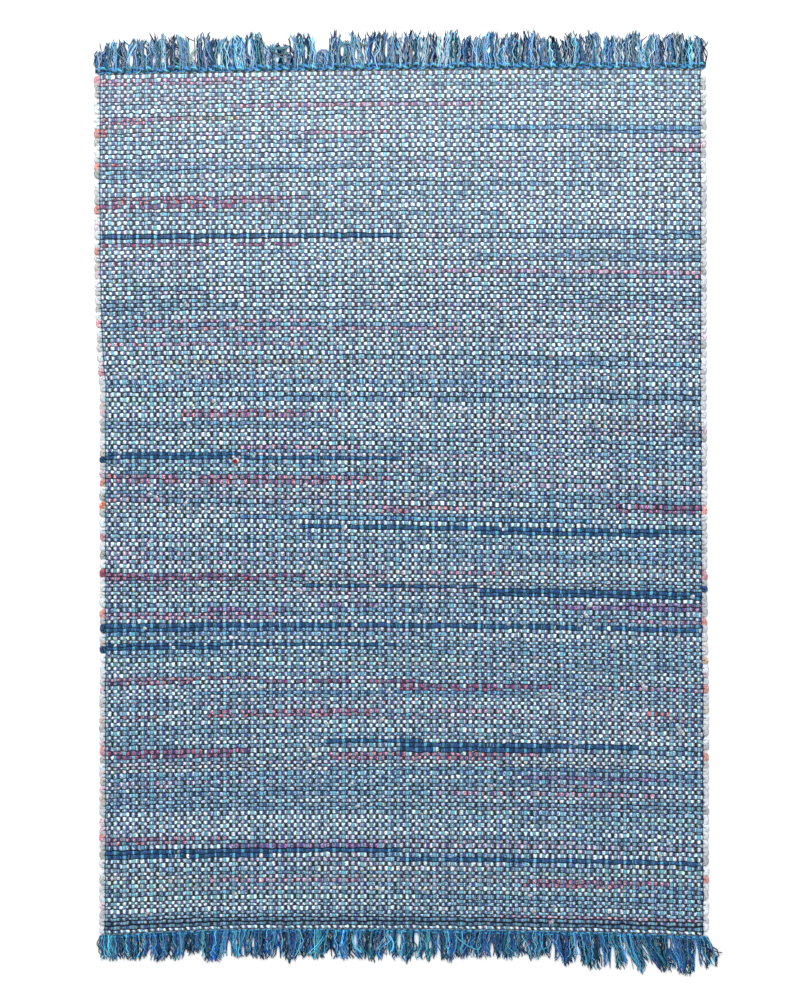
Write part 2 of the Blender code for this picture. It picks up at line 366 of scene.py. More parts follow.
# Selvedge loops that show a coloured rag, by height in pixels; the rest are drawn from the pale cloths
LOOP_COLUMNS = ("side", "y", "rag")
LOOPS = (
    (-1, 81, "pink"),
    (-1, 132, "salmon"),
    (-1, 166, "salmon"),
    (-1, 209, "salmon"),
    (-1, 254, "salmon"),
    (-1, 322, "pink"),
    (-1, 376, "pink"),
    (-1, 449, "orange_print"),
    (-1, 458, "navy"),
    (-1, 479, "salmon"),
    (-1, 501, "orange"),
    (-1, 540, "pink"),
    (-1, 575, "crimson"),
    (-1, 616, "salmon"),
    (-1, 626, "navy"),
    (-1, 647, "navy"),
    (-1, 754, "pink"),
    (-1, 839, "pink"),
    (1, 507, "salmon"),
    (1, 574, "pink"),
    (1, 593, "navy"),
    (1, 619, "salmon"),
    (1, 660, "tan"),
    (1, 677, "pink_print"),
    (1, 689, "salmon"),
    (1, 754, "salmon"),
    (1, 883, "salmon"),
)
PALE_RAGS = ("white", "pink_print", "grey", "orange_print")
PALE_SHARES = (0.66, 0.08, 0.20, 0.06)

# Shares of turquoise, royal blue, dark green, thin blue, heading blue and mid blue in the loose yarns
FRINGE_SHARES = (0.25, 0.16, 0.07, 0.06, 0.14, 0.32)

YARNS_TOGETHER = 2
STREAK_KEEP = 0.84
NAVY_KEEP = 0.96
STREAK_SLIP = 0.45
FOOT_ROW_SHADES = np.array([[1.05], [0.34], [0.58]])
END_SLANT = 0.0030
EDGE_DARK = 0.22
# How dark the painted shade in the rag's curls is
CURL_SHADE = 0.55
# How much greyer and lighter the warp yarns turn towards the head end
HEAD_GREYING = 0.12
HEAD_LIFT = 0.22
HEAD_LIGHT = 1.34
FOOT_LIGHT = 1.48
LOCK_LIGHT = 0.42
HEAD_SPARSE = 1.10
DEEPEST = 0.04
BRIGHTEST = 1.65
# Strength of the painted pale highlight on the head fringe's highest yarns
HEAD_HIGHLIGHT = 0.50
HEADING_LIGHT = 1.30
# Colour of the painted highlight on the head fringe's highest yarns
HIGHLIGHT_TONE = np.array([0.62, 0.76, 0.76, 1.0])
ROW_UNEVEN = 0.24
GROUP_UNEVEN = 0.06
ROW_WANDER = 0.0015
ROW_WAVES = (0.19, 0.083, 0.031)
GROUP_WANDER = 0.0004
GROUP_WAVES = (0.33, 0.11, 0.037)
CORNER_JITTER = 0.00075
CROWN_UNEVEN = 0.00022
HEIGHT_UNEVEN = 0.0001
UNDER_LOW = 0.0002
UNDER_HIGH = 0.0006
SHOULDERS = (0.0, 0.27, 0.73)
HALVES = (0.0, 0.5)
PUFF_SHARE = 0.012
PUFF_HEIGHT = 0.0022
STRIPS = 8
ROWS_A_FOLD = 72
FRINGE_STEPS = 16
THREAD_SPACING = 0.004
LOOP_TUCK = 0.0012
LOOP_HALF_WIDTH = 0.245
LOOP_HALF_HEIGHT = 0.0022
LOOP_TURN = 0.285
LOOP_BLUNTNESS = 0.12
LOOP_MIDDLE = 0.0030
LOOP_STEPS = 9
LOOP_SLACK = 0.0016
LOOP_TILT = 0.0011
LOOP_UNEVEN = 0.0004
LOOP_SWELL = 0.06
FRAY_SPOTS = 170
FRAY_STEPS = 7
FRAY_RADIUS = 0.00045
FRAY_SHORTEST = 0.005
FRAY_LONGEST = 0.014
FRAY_LIFT = 0.0062
FRAY_ARCH = 0.0014
FRAY_TONES = ((0.90, 0.89, 0.87, 1.0), (0.78, 0.84, 0.90, 1.0), (0.84, 0.76, 0.70, 1.0))
PUFFS = 150
PUFF_LIFT = 0.0056
PUFF_SMALLEST = (0.0034, 0.0034, 0.0014)
PUFF_LARGEST = (0.0062, 0.0052, 0.0024)
LUMP_DEPTH = 0.30
KNOT_X_PX = 236
KNOT_Y_PX = 461
KNOT_LIFT = 0.0078
KNOT_TOP = np.array([-0.0014, -0.0008, 0.0012])
KNOT_WHITE_SIZE = (0.0072, 0.0084, 0.0028)
KNOT_RED_SIZE = (0.0054, 0.0062, 0.0036)
END_ROUNDING = 0.10
END_RAGGED = (-0.09, 0.26)
TIP_SPREAD = 0.0026
TIP_FLICK = 0.0042
FLICK_FROM = 0.65
FLICK_SPAN = 0.35
CRIMP_LENGTHS = (0.012, 0.026)
CRIMP_LENGTHWAYS = 0.0010
YARN_LEAD = 0.65
ROOT_LIFT = 0.0004
ROOT_LAYERS = 0.0044
TIP_LAYERS = 0.0026
HOLE_CROWDING = 0.25
STRAND_SPACING = 0.0017
STRAND_WOBBLE = 0.0003
STRAND_LIFT = 0.0038
STRAND_ARCH = 0.0030
STRAY_SHARE = 0.16
STRAY_BEND = 0.0068
CALM_BEND = 0.0020
LOCK_WIDTH = 0.0085
LOCK_PULL = 0.45
LOCK_WAVE = 0.0019
SWAY = 0.0035
SWAY_LENGTH = 0.31
TWINE_PITCH = 0.023
TWINE_SWELL = 0.42
TWINE_SLIP = 0.35
TWINE_SLIP_LENGTH = 0.017
TWINE_FLAT = 0.26
PLY_FLAT = 0.30
YARN_WOBBLE = 0.00012
HEADING_HEIGHT = 0.0038
HEADING_STEP = 0.0025
HEADING_MIDDLE = 0.66
HEADING_TURN = 0.40
HEADING_PLY = 0.16
HEADING_YARN = 0.13
HEADING_PLY_PITCH = 1.5
HEADING_PLIES = 4
HEAD_STRIP = 0.0140
FOOT_STRIP = 0.0090
PART_GAP = 0.0003
FOLDS = 4
SHORTEST_RAG = 12
LONGEST_RAG = 130

# The studio: half the floor, the sky's strength, the key light, the softbox past the head end, the camera
FLOOR_HALF = 45.0
SKY_STRENGTH = 0.76
KEY_ENERGY = 1.2
KEY_SPREAD = math.radians(35)
KEY_TURN = (math.radians(-42), math.radians(-16), 0.0)
BOX_WIDTH = 2.4
BOX_DEPTH = 1.0
BOX_ENERGY = 46.0
BOX_PLACE = (-0.3, 2.3, 1.9)
BOX_TURN = (math.radians(-46), 0.0, 0.0)
LENS = 85.0
SENSOR = 36.0
CAMERA_CLEARANCE = 0.005


def column(rows, columns, name):
    """A table's named column as an array."""
    return np.array([row[columns.index(name)] for row in rows])


def named(rows, columns):
    """A table's rows, each as values by the names of its columns."""
    return [dict(zip(columns, row)) for row in rows]


def at_pixel(x, y):
    """Where a pixel of the photograph lies on the floor, as x and y in metres."""
    return (x - ORIGIN_X_PX) * PIXEL, (ORIGIN_Y_PX - y) * PIXEL


def long_edges(size, y):
    """The left and right edges of the cloth at y: half the width to each side, less the table's insets."""
    from_head = size.cloth_length / 2 - y
    at = column(EDGES, EDGE_COLUMNS, "from_head")
    left = np.interp(from_head, at, column(EDGES, EDGE_COLUMNS, "left_inset")) - size.cloth_width / 2
    right = size.cloth_width / 2 - np.interp(from_head, at, column(EDGES, EDGE_COLUMNS, "right_inset"))
    return left, right


def end_slip(end, across):
    """How far the outermost row at one end slips towards the foot end, at a share of the way across."""
    return np.interp(across, column(END_SLIPS, END_COLUMNS, "across"), column(END_SLIPS, END_COLUMNS, end))


def drift(size, x, y):
    """How far the weft row at y hangs towards the foot end at x: the parabola through nothing at the left,
    the table's middle value at its place and the table's right value at the right, and near each end its
    slip, times the square of what is left of END_REACH."""
    from_head = size.cloth_length / 2 - y
    left, right = long_edges(size, y)
    across = (x - left) / (right - left)
    at = column(DRIFTS, DRIFT_COLUMNS, "from_head")
    middle = np.interp(from_head, at, column(DRIFTS, DRIFT_COLUMNS, "middle"))
    end = np.interp(from_head, at, column(DRIFTS, DRIFT_COLUMNS, "right"))
    hump = across * (1 - across) / (DRIFT_MIDDLE_AT * (1 - DRIFT_MIDDLE_AT))
    ramp = across * (across - DRIFT_MIDDLE_AT) / (1 - DRIFT_MIDDLE_AT)
    near_head = np.maximum(0.0, 1 - from_head / END_REACH) ** 2
    near_foot = np.maximum(0.0, 1 - (size.cloth_length - from_head) / END_REACH) ** 2
    slips = end_slip("head", across) * near_head + end_slip("foot", across) * near_foot
    return middle * hump + end * ramp + slips


def wander(along, count, chance, lengths):
    """One wavy line for each of count threads over the places along: the mean of sines of the given
    lengths, each with its own start, as an array of (count, places)."""
    starts = chance.uniform(0, 2 * math.pi, (len(lengths), count, 1))
    waves = [np.sin(2 * math.pi * along[None, :] / length + start) for length, start in zip(lengths, starts)]
    return sum(waves) / len(lengths)


def weave_corners(size):
    """The corners of the weave's cells: (rows + 1, groups + 1) arrays of x and y, row 0 at the foot end. Each
    line is an even share of the cloth, made a little uneven, and wanders by a sum of sines."""
    chance = np.random.default_rng(SEED)
    row_pitch = 1 + chance.uniform(-ROW_UNEVEN, ROW_UNEVEN, size.weft_rows)
    row_y = np.concatenate([[0.0], np.cumsum(row_pitch)]) / row_pitch.sum() - 0.5
    group_pitch = 1 + chance.uniform(-GROUP_UNEVEN, GROUP_UNEVEN, size.warp_groups)
    share = np.concatenate([[0.0], np.cumsum(group_pitch)]) / group_pitch.sum()
    row_wander = ROW_WANDER * wander(share * size.cloth_width, size.weft_rows + 1, chance, ROW_WAVES)
    row_wander[[0, -1]] = 0.0
    y = row_y[:, None] * size.cloth_length + row_wander
    left, right = long_edges(size, y)
    group_wander = wander(row_y * size.cloth_length, size.warp_groups + 1, chance, GROUP_WAVES).T
    x = left + size.loop_strip + share * (right - left - 2 * size.loop_strip) + GROUP_WANDER * group_wander
    jitter = chance.normal(0, CORNER_JITTER, (2, *x.shape))
    jitter[:, [0, -1]] = 0.0
    y = y + jitter[1] - drift(size, x, y)
    x = x + jitter[0]
    x[0, 1:-1] += END_SLANT
    return x, y


def between(corners, steps, axis):
    """Lines at the given steps between neighbouring corners, along one axis, with the last corner kept."""
    start = np.moveaxis(corners, axis, 0)
    parts = [start[:-1] * (1 - step) + start[1:] * step for step in steps]
    lines = np.stack(parts, axis=1).reshape(-1, *start.shape[1:])
    return np.moveaxis(np.concatenate([lines, start[-1:]]), 0, axis)


def plan_rags(size, corner_x, corner_y):
    """The rag cloth in each cell and its shade: one long thread of joined rags laid to and fro along the
    rows, drawn by the zone's shares, with the table's streaks laid over it."""
    rows, groups = size.weft_rows, size.warp_groups
    chance = np.random.default_rng(SEED + 1)
    zone_at = column(ZONES, ZONE_COLUMNS, "from_head")
    drawn = ZONE_COLUMNS[2:]
    drawn_kinds = [RAG_NAMES.index(name) for name in drawn]
    shares = np.array([column(ZONES, ZONE_COLUMNS, name) for name in drawn], float)
    kinds = np.zeros(rows * groups, int)
    shades = np.ones(rows * groups)
    place = 0
    while place < rows * groups:
        from_head = (1 - place / (rows * groups)) * size.cloth_length
        weights = np.array([np.interp(from_head, zone_at, share) for share in shares])
        shade = np.interp(from_head, zone_at, column(ZONES, ZONE_COLUMNS, "shade"))
        length = chance.integers(SHORTEST_RAG, LONGEST_RAG)
        kinds[place:place + length] = chance.choice(drawn_kinds, p=weights / weights.sum())
        shades[place:place + length] = shade * chance.uniform(0.80, 1.12)
        place += length
    kinds, shades = kinds.reshape(rows, groups), shades.reshape(rows, groups)
    kinds[1::2] = kinds[1::2, ::-1].copy()
    shades[1::2] = shades[1::2, ::-1].copy()
    middle_x = (corner_x[:-1, :-1] + corner_x[1:, 1:]) / 2
    middle_y = (corner_y[:-1, :-1] + corner_y[1:, 1:]) / 2
    for row in named(STREAKS, STREAK_COLUMNS):
        from_x, start_y = at_pixel(row["left"], row["y"])
        to_x = at_pixel(row["right"], row["y"])[0]
        first_group = np.abs(middle_x[0] - from_x).argmin()
        top_row = np.abs(middle_y[:, first_group] - start_y).argmin()
        keep = NAVY_KEEP if row["rag"] == "navy" else STREAK_KEEP
        for weft in range(max(0, top_row - row["rows"] + 1), top_row + 1):
            slip = chance.uniform(0, STREAK_SLIP if weft < top_row else 0.0) * (to_x - from_x)
            inside = (middle_x[weft] >= from_x) & (middle_x[weft] <= to_x - slip)
            inside &= chance.random(groups) < keep
            kinds[weft, inside] = RAG_NAMES.index(row["rag"])
            shades[weft, inside] = 1.0
    kinds[0] = RAG_NAMES.index("white")
    kinds[1:3] = RAG_NAMES.index("grey_print")
    shades[:3] = FOOT_ROW_SHADES
    return kinds, shades


def add_object(name, data):
    """An object that holds the data, linked into the scene."""
    made = bpy.data.objects.new(name, data)
    bpy.context.scene.collection.objects.link(made)
    return made


def add_mesh(name, points, faces, material):
    """A smooth-shaded mesh object from a (points, 3) array and a list of (faces, corners) arrays."""
    mesh = bpy.data.meshes.new(name)
    counts = np.concatenate([np.full(len(part), part.shape[1]) for part in faces])
    corners = np.concatenate([part.ravel() for part in faces])
    mesh.vertices.add(len(points))
    mesh.vertices.foreach_set("co", np.ascontiguousarray(points, np.float32).ravel())
    mesh.loops.add(len(corners))
    mesh.loops.foreach_set("vertex_index", corners.astype(np.int32))
    mesh.polygons.add(len(counts))
    starts = np.concatenate([[0], np.cumsum(counts)[:-1]])
    mesh.polygons.foreach_set("loop_start", starts.astype(np.int32))
    mesh.polygons.foreach_set("use_smooth", np.ones(len(counts), bool))
    mesh.update(calc_edges=True)
    mesh.materials.append(material)
    return add_object(name, mesh)


def ring_faces(count, rings, sides):
    """Corner numbers of the quads round each of count tubes, and of the caps at their starts and ends."""
    at = np.arange(count * rings * sides).reshape(count, rings, sides)
    turned = np.roll(at, -1, axis=2)
    quads = np.stack([at[:, :-1], at[:, 1:], turned[:, 1:], turned[:, :-1]], axis=-1).reshape(-1, 4)
    return [quads, at[:, 0], at[:, -1, ::-1]]


def add_map(piece, name, coordinates):
    """A UV map from one (corners, 2) array."""
    layer = piece.data.uv_layers.new(name=name)
    layer.uv.foreach_set("vector", np.ascontiguousarray(coordinates, np.float32).ravel())


def add_colours(piece, name, colours):
    """A colour for each face, from one (faces, 4) array."""
    layer = piece.data.attributes.new(name, "FLOAT_COLOR", "FACE")
    layer.data.foreach_set("color", np.ascontiguousarray(colours, np.float32).ravel())


def quads_of(lines, places):
    """Corner numbers of the quads of a grid whose points run place by place and then line by line."""
    at = np.arange(lines * places).reshape(lines, places)
    return np.stack([at[:-1, :-1], at[:-1, 1:], at[1:, 1:], at[1:, :-1]], axis=-1).reshape(-1, 4)


class Graph:
    """Shader nodes of one material, added and wired by short calls so that a finish reads as a formula."""

    def __init__(self, name, roughness, sheen, gloss=0.12):
        self.material = bpy.data.materials.new(name)
        self.material.use_nodes = True
        self.tree = self.material.node_tree
        self.shader = self.tree.nodes["Principled BSDF"]
        self.shader.inputs["Roughness"].default_value = roughness
        self.shader.inputs["Sheen Weight"].default_value = sheen
        self.shader.inputs["Sheen Roughness"].default_value = 0.6
        self.shader.inputs["Specular IOR Level"].default_value = gloss

    def node(self, kind, *values, **settings):
        """A node with its settings and its first inputs, each a number, a colour or another's output."""
        made = self.tree.nodes.new("ShaderNode" + kind)
        for key, value in settings.items():
            setattr(made, key, value)
        for socket, value in zip(made.inputs, values):
            self.join(socket, value)
        return made

    def join(self, socket, value):
        if isinstance(value, bpy.types.NodeSocket):
            self.tree.links.new(value, socket)
        elif value is not None:
            socket.default_value = value

    def math(self, operation, *values):
        return self.node("Math", *values, operation=operation).outputs[0]

    def plus(self, first, second):
        return self.math("ADD", first, second)

    def minus(self, first, second):
        return self.math("SUBTRACT", first, second)

    def times(self, first, second):
        return self.math("MULTIPLY", first, second)

    def rest(self, value):
        """One less the value."""
        return self.minus(1.0, value)

    def line(self, base, value, slope):
        """The base plus the value times its slope."""
        return self.plus(base, self.times(value, slope))

    def hump(self, value):
        """Four times the value times the rest of one: nothing at both ends and one halfway."""
        return self.times(4.0, self.times(value, self.rest(value)))

    def point(self, x, y, z=0.0):
        return self.node("CombineXYZ", x, y, z).outputs[0]

    def rise(self, value, low, high):
        """Nothing below low, one above high and a smooth rise between."""
        return self.node("MapRange", value, low, high, interpolation_type="SMOOTHSTEP").outputs[0]

    def spread(self, u, v, along, across, z=0.0):
        """The point u, v with each stretched by its own amount."""
        return self.point(self.times(u, along), self.times(v, across), z)

    def draw(self, x, y, z=0.0):
        """A draw between nothing and one, the same wherever x, y and z are."""
        return self.node("TexWhiteNoise", self.point(x, y, z)).outputs[0]

    def noise(self, where, scale, detail=2.0):
        return self.node("TexNoise", where, None, scale, detail).outputs[0]

    def colour(self, factor, first, second, blend="MIX"):
        made = self.node("Mix", data_type="RGBA", blend_type=blend)
        for at, value in ((0, factor), (6, first), (7, second)):
            self.join(made.inputs[at], value)
        return made.outputs[2]

    def shade(self, colour, amount):
        """The colour times a grey amount."""
        return self.colour(1.0, colour, self.point(amount, amount, amount), "MULTIPLY")

    def attribute(self, name):
        return self.node("Attribute", attribute_name=name)

    def parts(self, vector):
        return self.node("SeparateXYZ", vector).outputs

    def finish(self, colour, height, depth, strength):
        self.join(self.shader.inputs["Base Color"], colour)
        bump = self.node("Bump", strength, depth)
        self.join(bump.inputs["Height"], height)
        self.join(self.shader.inputs["Normal"], bump.outputs[0])
        return self.material


def rag_finish(g, where, stretch, cell):
    """Colour and fold height of rag cloth: its ground with printed flecks, with painted shade in its folds.
    The flecks are where a noise passes an edge set by the cover that the ground's alpha holds."""
    u, v = g.parts(where)[0], g.parts(where)[1]
    along, across = stretch
    folds = g.noise(g.spread(u, v, along, across, cell), 1.4, 3.0)
    print_at = g.noise(g.spread(u, v, 1.7, 2.2, 7.0), 1.9, 1.5)
    ground, printed = g.attribute("rag_ground"), g.attribute("rag_print")
    edge = g.minus(0.68, g.times(ground.outputs["Alpha"], 0.42))
    mask = g.rise(print_at, edge, g.plus(edge, 0.05))
    rag = g.colour(mask, ground.outputs["Color"], printed.outputs["Color"])
    # Painted shade and light: the rag darker down in its folds and lighter on their ridges
    return g.shade(rag, g.line(0.44, folds, 1.06)), folds


def weave_material(colours, rows, groups):
    """Weave finish. With u counting warp groups and v weft rows, the place over two groups is
    (u + whole v) modulo 2. Near its half the plied warp yarns lie on top, near three halves the rag does, and
    a thin blue yarn runs between. Rag folds run across the rug, and rows are parted by a gap, dipped in the
    bump and painted dark as shadow."""
    g = Graph("rag_weave", 0.92, 0.04)
    where = g.node("UVMap", uv_map="weave").outputs[0]
    u, v = g.parts(where)[0], g.parts(where)[1]
    group, row = g.math("FLOOR", u), g.math("FLOOR", v)
    cell_noise = g.node("TexWhiteNoise", g.point(group, row, 3.0))
    cell = cell_noise.outputs[0]
    cell_size = g.draw(group, row, 5.0)
    dye = g.draw(group, 0.0, 9.0)
    gap_line = g.math("FLOOR", g.plus(v, 0.5))
    gap_size = g.draw(0.0, gap_line, 6.0)

    over_two = g.math("FLOORED_MODULO", g.plus(u, row), 2.0)
    off_bundle = g.math("ABSOLUTE", g.minus(over_two, 0.5))
    off_bundle = g.math("MINIMUM", off_bundle, g.minus(2.0, off_bundle))
    ragged = g.minus(g.noise(g.point(u, g.times(v, 3.0)), 2.3), 0.5)
    away = g.line(off_bundle, ragged, 0.26)
    headward = g.rise(v, 0.56 * rows, rows)
    usual_size = g.minus(0.83, g.times(headward, 0.17))
    rag_size = g.times(g.minus(cell_size, usual_size), 0.32)
    away = g.plus(away, g.times(rag_size, g.rise(off_bundle, 0.48, 0.52)))
    away = g.line(away, g.rise(cell, 0.90, 0.92), 0.16)
    within = g.math("FRACT", v)
    to_gap = g.math("MINIMUM", within, g.rest(within))
    threads = g.noise(g.spread(u, v, 9.0, 14.0), 2.2, 1.0)

    rag, folds = rag_finish(g, where, (0.9, 6.0), cell)
    tint = g.colour(0.13, (1.0, 1.0, 1.0, 1.0), cell_noise.outputs[1])
    rag = g.colour(1.0, rag, tint, "MULTIPLY")
    # Painted shade in the rag's curls: darker marks where a coarse noise is high
    curl = g.noise(g.spread(u, v, 2.6, 2.1, 4.0), 1.3, 1.0)
    rag = g.shade(rag, g.minus(1.04, g.times(g.rise(curl, 0.52, 0.60), CURL_SHADE)))
    # Painted highlight and shade: each rag patch lighter on its crown and darker towards its sides
    crest_light = g.rise(off_bundle, 0.50, 0.86)
    rag = g.shade(rag, g.line(0.77, crest_light, 0.35))
    rag = g.shade(rag, g.line(0.74, g.math("POWER", cell_size, 0.6), 0.49))

    third = g.math("FLOORED_MODULO", group, 3.0)
    by_turquoise = g.rest(g.rise(third, 0.4, 0.6))
    rag = g.colour(g.times(by_turquoise, 0.14), rag, tuple(colours.turquoise))
    yarn = g.colour(g.rise(third, 0.4, 0.6), tuple(colours.turquoise), tuple(colours.royal_blue))
    yarn = g.colour(g.rise(third, 1.4, 1.6), yarn, tuple(colours.dark_green))
    in_ply = g.math("FRACT", g.times(g.minus(over_two, 0.1), 5.0))
    ply_round = g.hump(in_ply)
    lean = g.plus(g.times(v, 7.0), g.times(in_ply, 0.9))
    twist = g.math("SINE", g.times(lean, 2 * math.pi))
    # Painted shade: each ply darker where it meets the next and along the grooves of its twist
    yarn = g.shade(yarn, g.line(0.66, ply_round, 0.42))
    yarn = g.shade(yarn, g.line(0.97, twist, 0.13))
    yarn = g.shade(yarn, g.line(0.84, dye, 0.26))
    yarn = g.shade(yarn, g.line(0.70, cell, 0.64))
    # The warp yarns turn greyer and lighter towards the head end
    yarn = g.colour(g.times(headward, HEAD_GREYING), yarn, (0.47, 0.49, 0.50, 1.0))
    yarn = g.shade(yarn, g.line(1.0, headward, HEAD_LIFT))
    thin = g.shade(tuple(colours.thin_blue), g.line(0.7, threads, 0.6))

    on_bundle = g.rest(g.rise(away, 0.39, 0.42))
    past_thin = g.rise(away, 0.56, 0.59)
    on_thin = g.times(g.rise(away, 0.45, 0.475), g.rest(past_thin))
    surface = g.colour(on_bundle, rag, yarn)
    surface = g.colour(on_thin, surface, thin)
    to_edge = g.math("MINIMUM", u, g.minus(float(groups), u))
    edge_light = g.plus(EDGE_DARK, g.times(g.rise(to_edge, 0.2, 0.7), 1.0 - EDGE_DARK))
    surface = g.shade(surface, edge_light)
    # Painted shade: the surface darker towards the gaps between rows
    clear_of_row_shade = g.rise(to_gap, 0.0, 0.23)
    surface = g.shade(surface, g.line(0.32, clear_of_row_shade, 0.75))
    # Painted shadow in the gap between rows: its width differs from row to row and is wider on both sides of
    # the third row from the foot end
    gap_width = g.line(0.025, g.math("POWER", gap_size, 1.6), 0.17)
    foot_lines = g.times(g.rise(v, 1.45, 1.55), g.rest(g.rise(v, 3.45, 3.55)))
    gap_width = g.line(gap_width, foot_lines, 0.20)
    gap_edge = g.times(g.plus(0.25, folds), gap_width)
    gap_end = g.plus(gap_edge, 0.045)
    in_gap = g.rest(g.rise(to_gap, g.times(gap_edge, 0.5), gap_end))
    # Painted shadow: the gap's dark colour laid over the surface
    surface = g.colour(g.times(in_gap, 0.94), surface, tuple(colours.gap))

    swell = g.hump(within)
    rag_height = g.plus(g.times(swell, 0.45), g.times(folds, 0.75))
    yarn_height = g.plus(g.times(ply_round, 0.32), g.times(twist, 0.07))
    yarn_height = g.line(yarn_height, swell, 0.35)
    height = g.plus(g.times(rag_height, g.rest(on_bundle)), g.times(yarn_height, on_bundle))
    height = g.line(height, threads, 0.10)
    height = g.minus(height, g.times(in_gap, 0.5))
    return g.finish(surface, height, 0.0022, 0.75)


def rag_material():
    """Rag cloth on a bent strip: printed ground with folds that run along the strip, with painted shade in
    the folds and round the strip's sides.
    """
    g = Graph("rag_strip", 0.92, 0.05)
    where = g.node("UVMap", uv_map="thread").outputs[0]
    each = g.draw(g.math("FLOOR", g.parts(where)[0]), 4.0)
    rag, folds = rag_finish(g, where, (5.0, 0.7), each)
    rag = g.shade(rag, g.line(0.72, each, 0.30))
    # Painted shade: the strip darker round its sides and underside, with full light only on its top
    off_middle = g.math("ABSOLUTE", g.minus(g.math("FRACT", g.parts(where)[0]), 0.5))
    rag = g.shade(rag, g.line(0.52, g.rise(off_middle, 0.25, 0.33), 0.50))
    return g.finish(rag, folds, 0.003, 0.9)


def yarn_material():
    """Plied cotton yarn: its own colour with a fine twist painted as shade, the sine of whole turns of twice
    u plus v, where u counts threads and v their length in spacings, and a brightness that differs at random
    from one pair of threads to the next."""
    g = Graph("warp_yarn", 0.9, 0.0, gloss=0.04)
    where = g.node("UVMap", uv_map="thread").outputs[0]
    u, v = g.parts(where)[0], g.parts(where)[1]
    each = g.draw(g.math("FLOOR", g.times(u, 0.5)), 8.0)
    twist = g.math("SINE", g.times(g.plus(g.times(u, 2.0), v), 2 * math.pi))
    fuzz = g.noise(g.spread(u, v, 3.0, 1.3), 1.7, 2.0)
    tone = g.attribute("yarn_colour").outputs["Color"]
    # Painted shade along the grooves of the twist
    tone = g.shade(tone, g.line(0.84, twist, 0.34))
    tone = g.shade(tone, g.line(0.36, each, 1.34))
    tone = g.shade(tone, g.line(0.35, fuzz, 1.30))
    height = g.plus(g.times(twist, 0.3), g.times(fuzz, 0.5))
    return g.finish(tone, height, 0.0006, 0.8)


def weave_height(size, rows, groups):
    """Heights of the face at its grid lines: rag crowns and lower warp crowns at the middle of the cells,
    set in turn like a chessboard, falling to the cells' sides and further to the gaps between rows."""
    chance = np.random.default_rng(SEED + 2)
    row, group = np.meshgrid(np.arange(rows), np.arange(groups), indexing="ij")
    rag_on_top = (row + group) % 2 == 1
    crown = np.where(rag_on_top, size.rag_crown, size.warp_crown)
    crown = crown + chance.normal(0, CROWN_UNEVEN, crown.shape)
    puffed = rag_on_top & (chance.random(crown.shape) < PUFF_SHARE)
    crown = crown + puffed * PUFF_HEIGHT * chance.uniform(0.4, 1.0, crown.shape)
    lines, places = len(SHOULDERS) * rows + 1, len(HALVES) * groups + 1
    z = np.full((lines, places), size.side_height)
    for shoulder in (1, 2):
        z[shoulder::3, 1::2] = crown
    z[0::3, 0::2] = size.corner_height
    z[0::3, 1::2] = size.gap_height
    return z + chance.normal(0, HEIGHT_UNEVEN, z.shape)


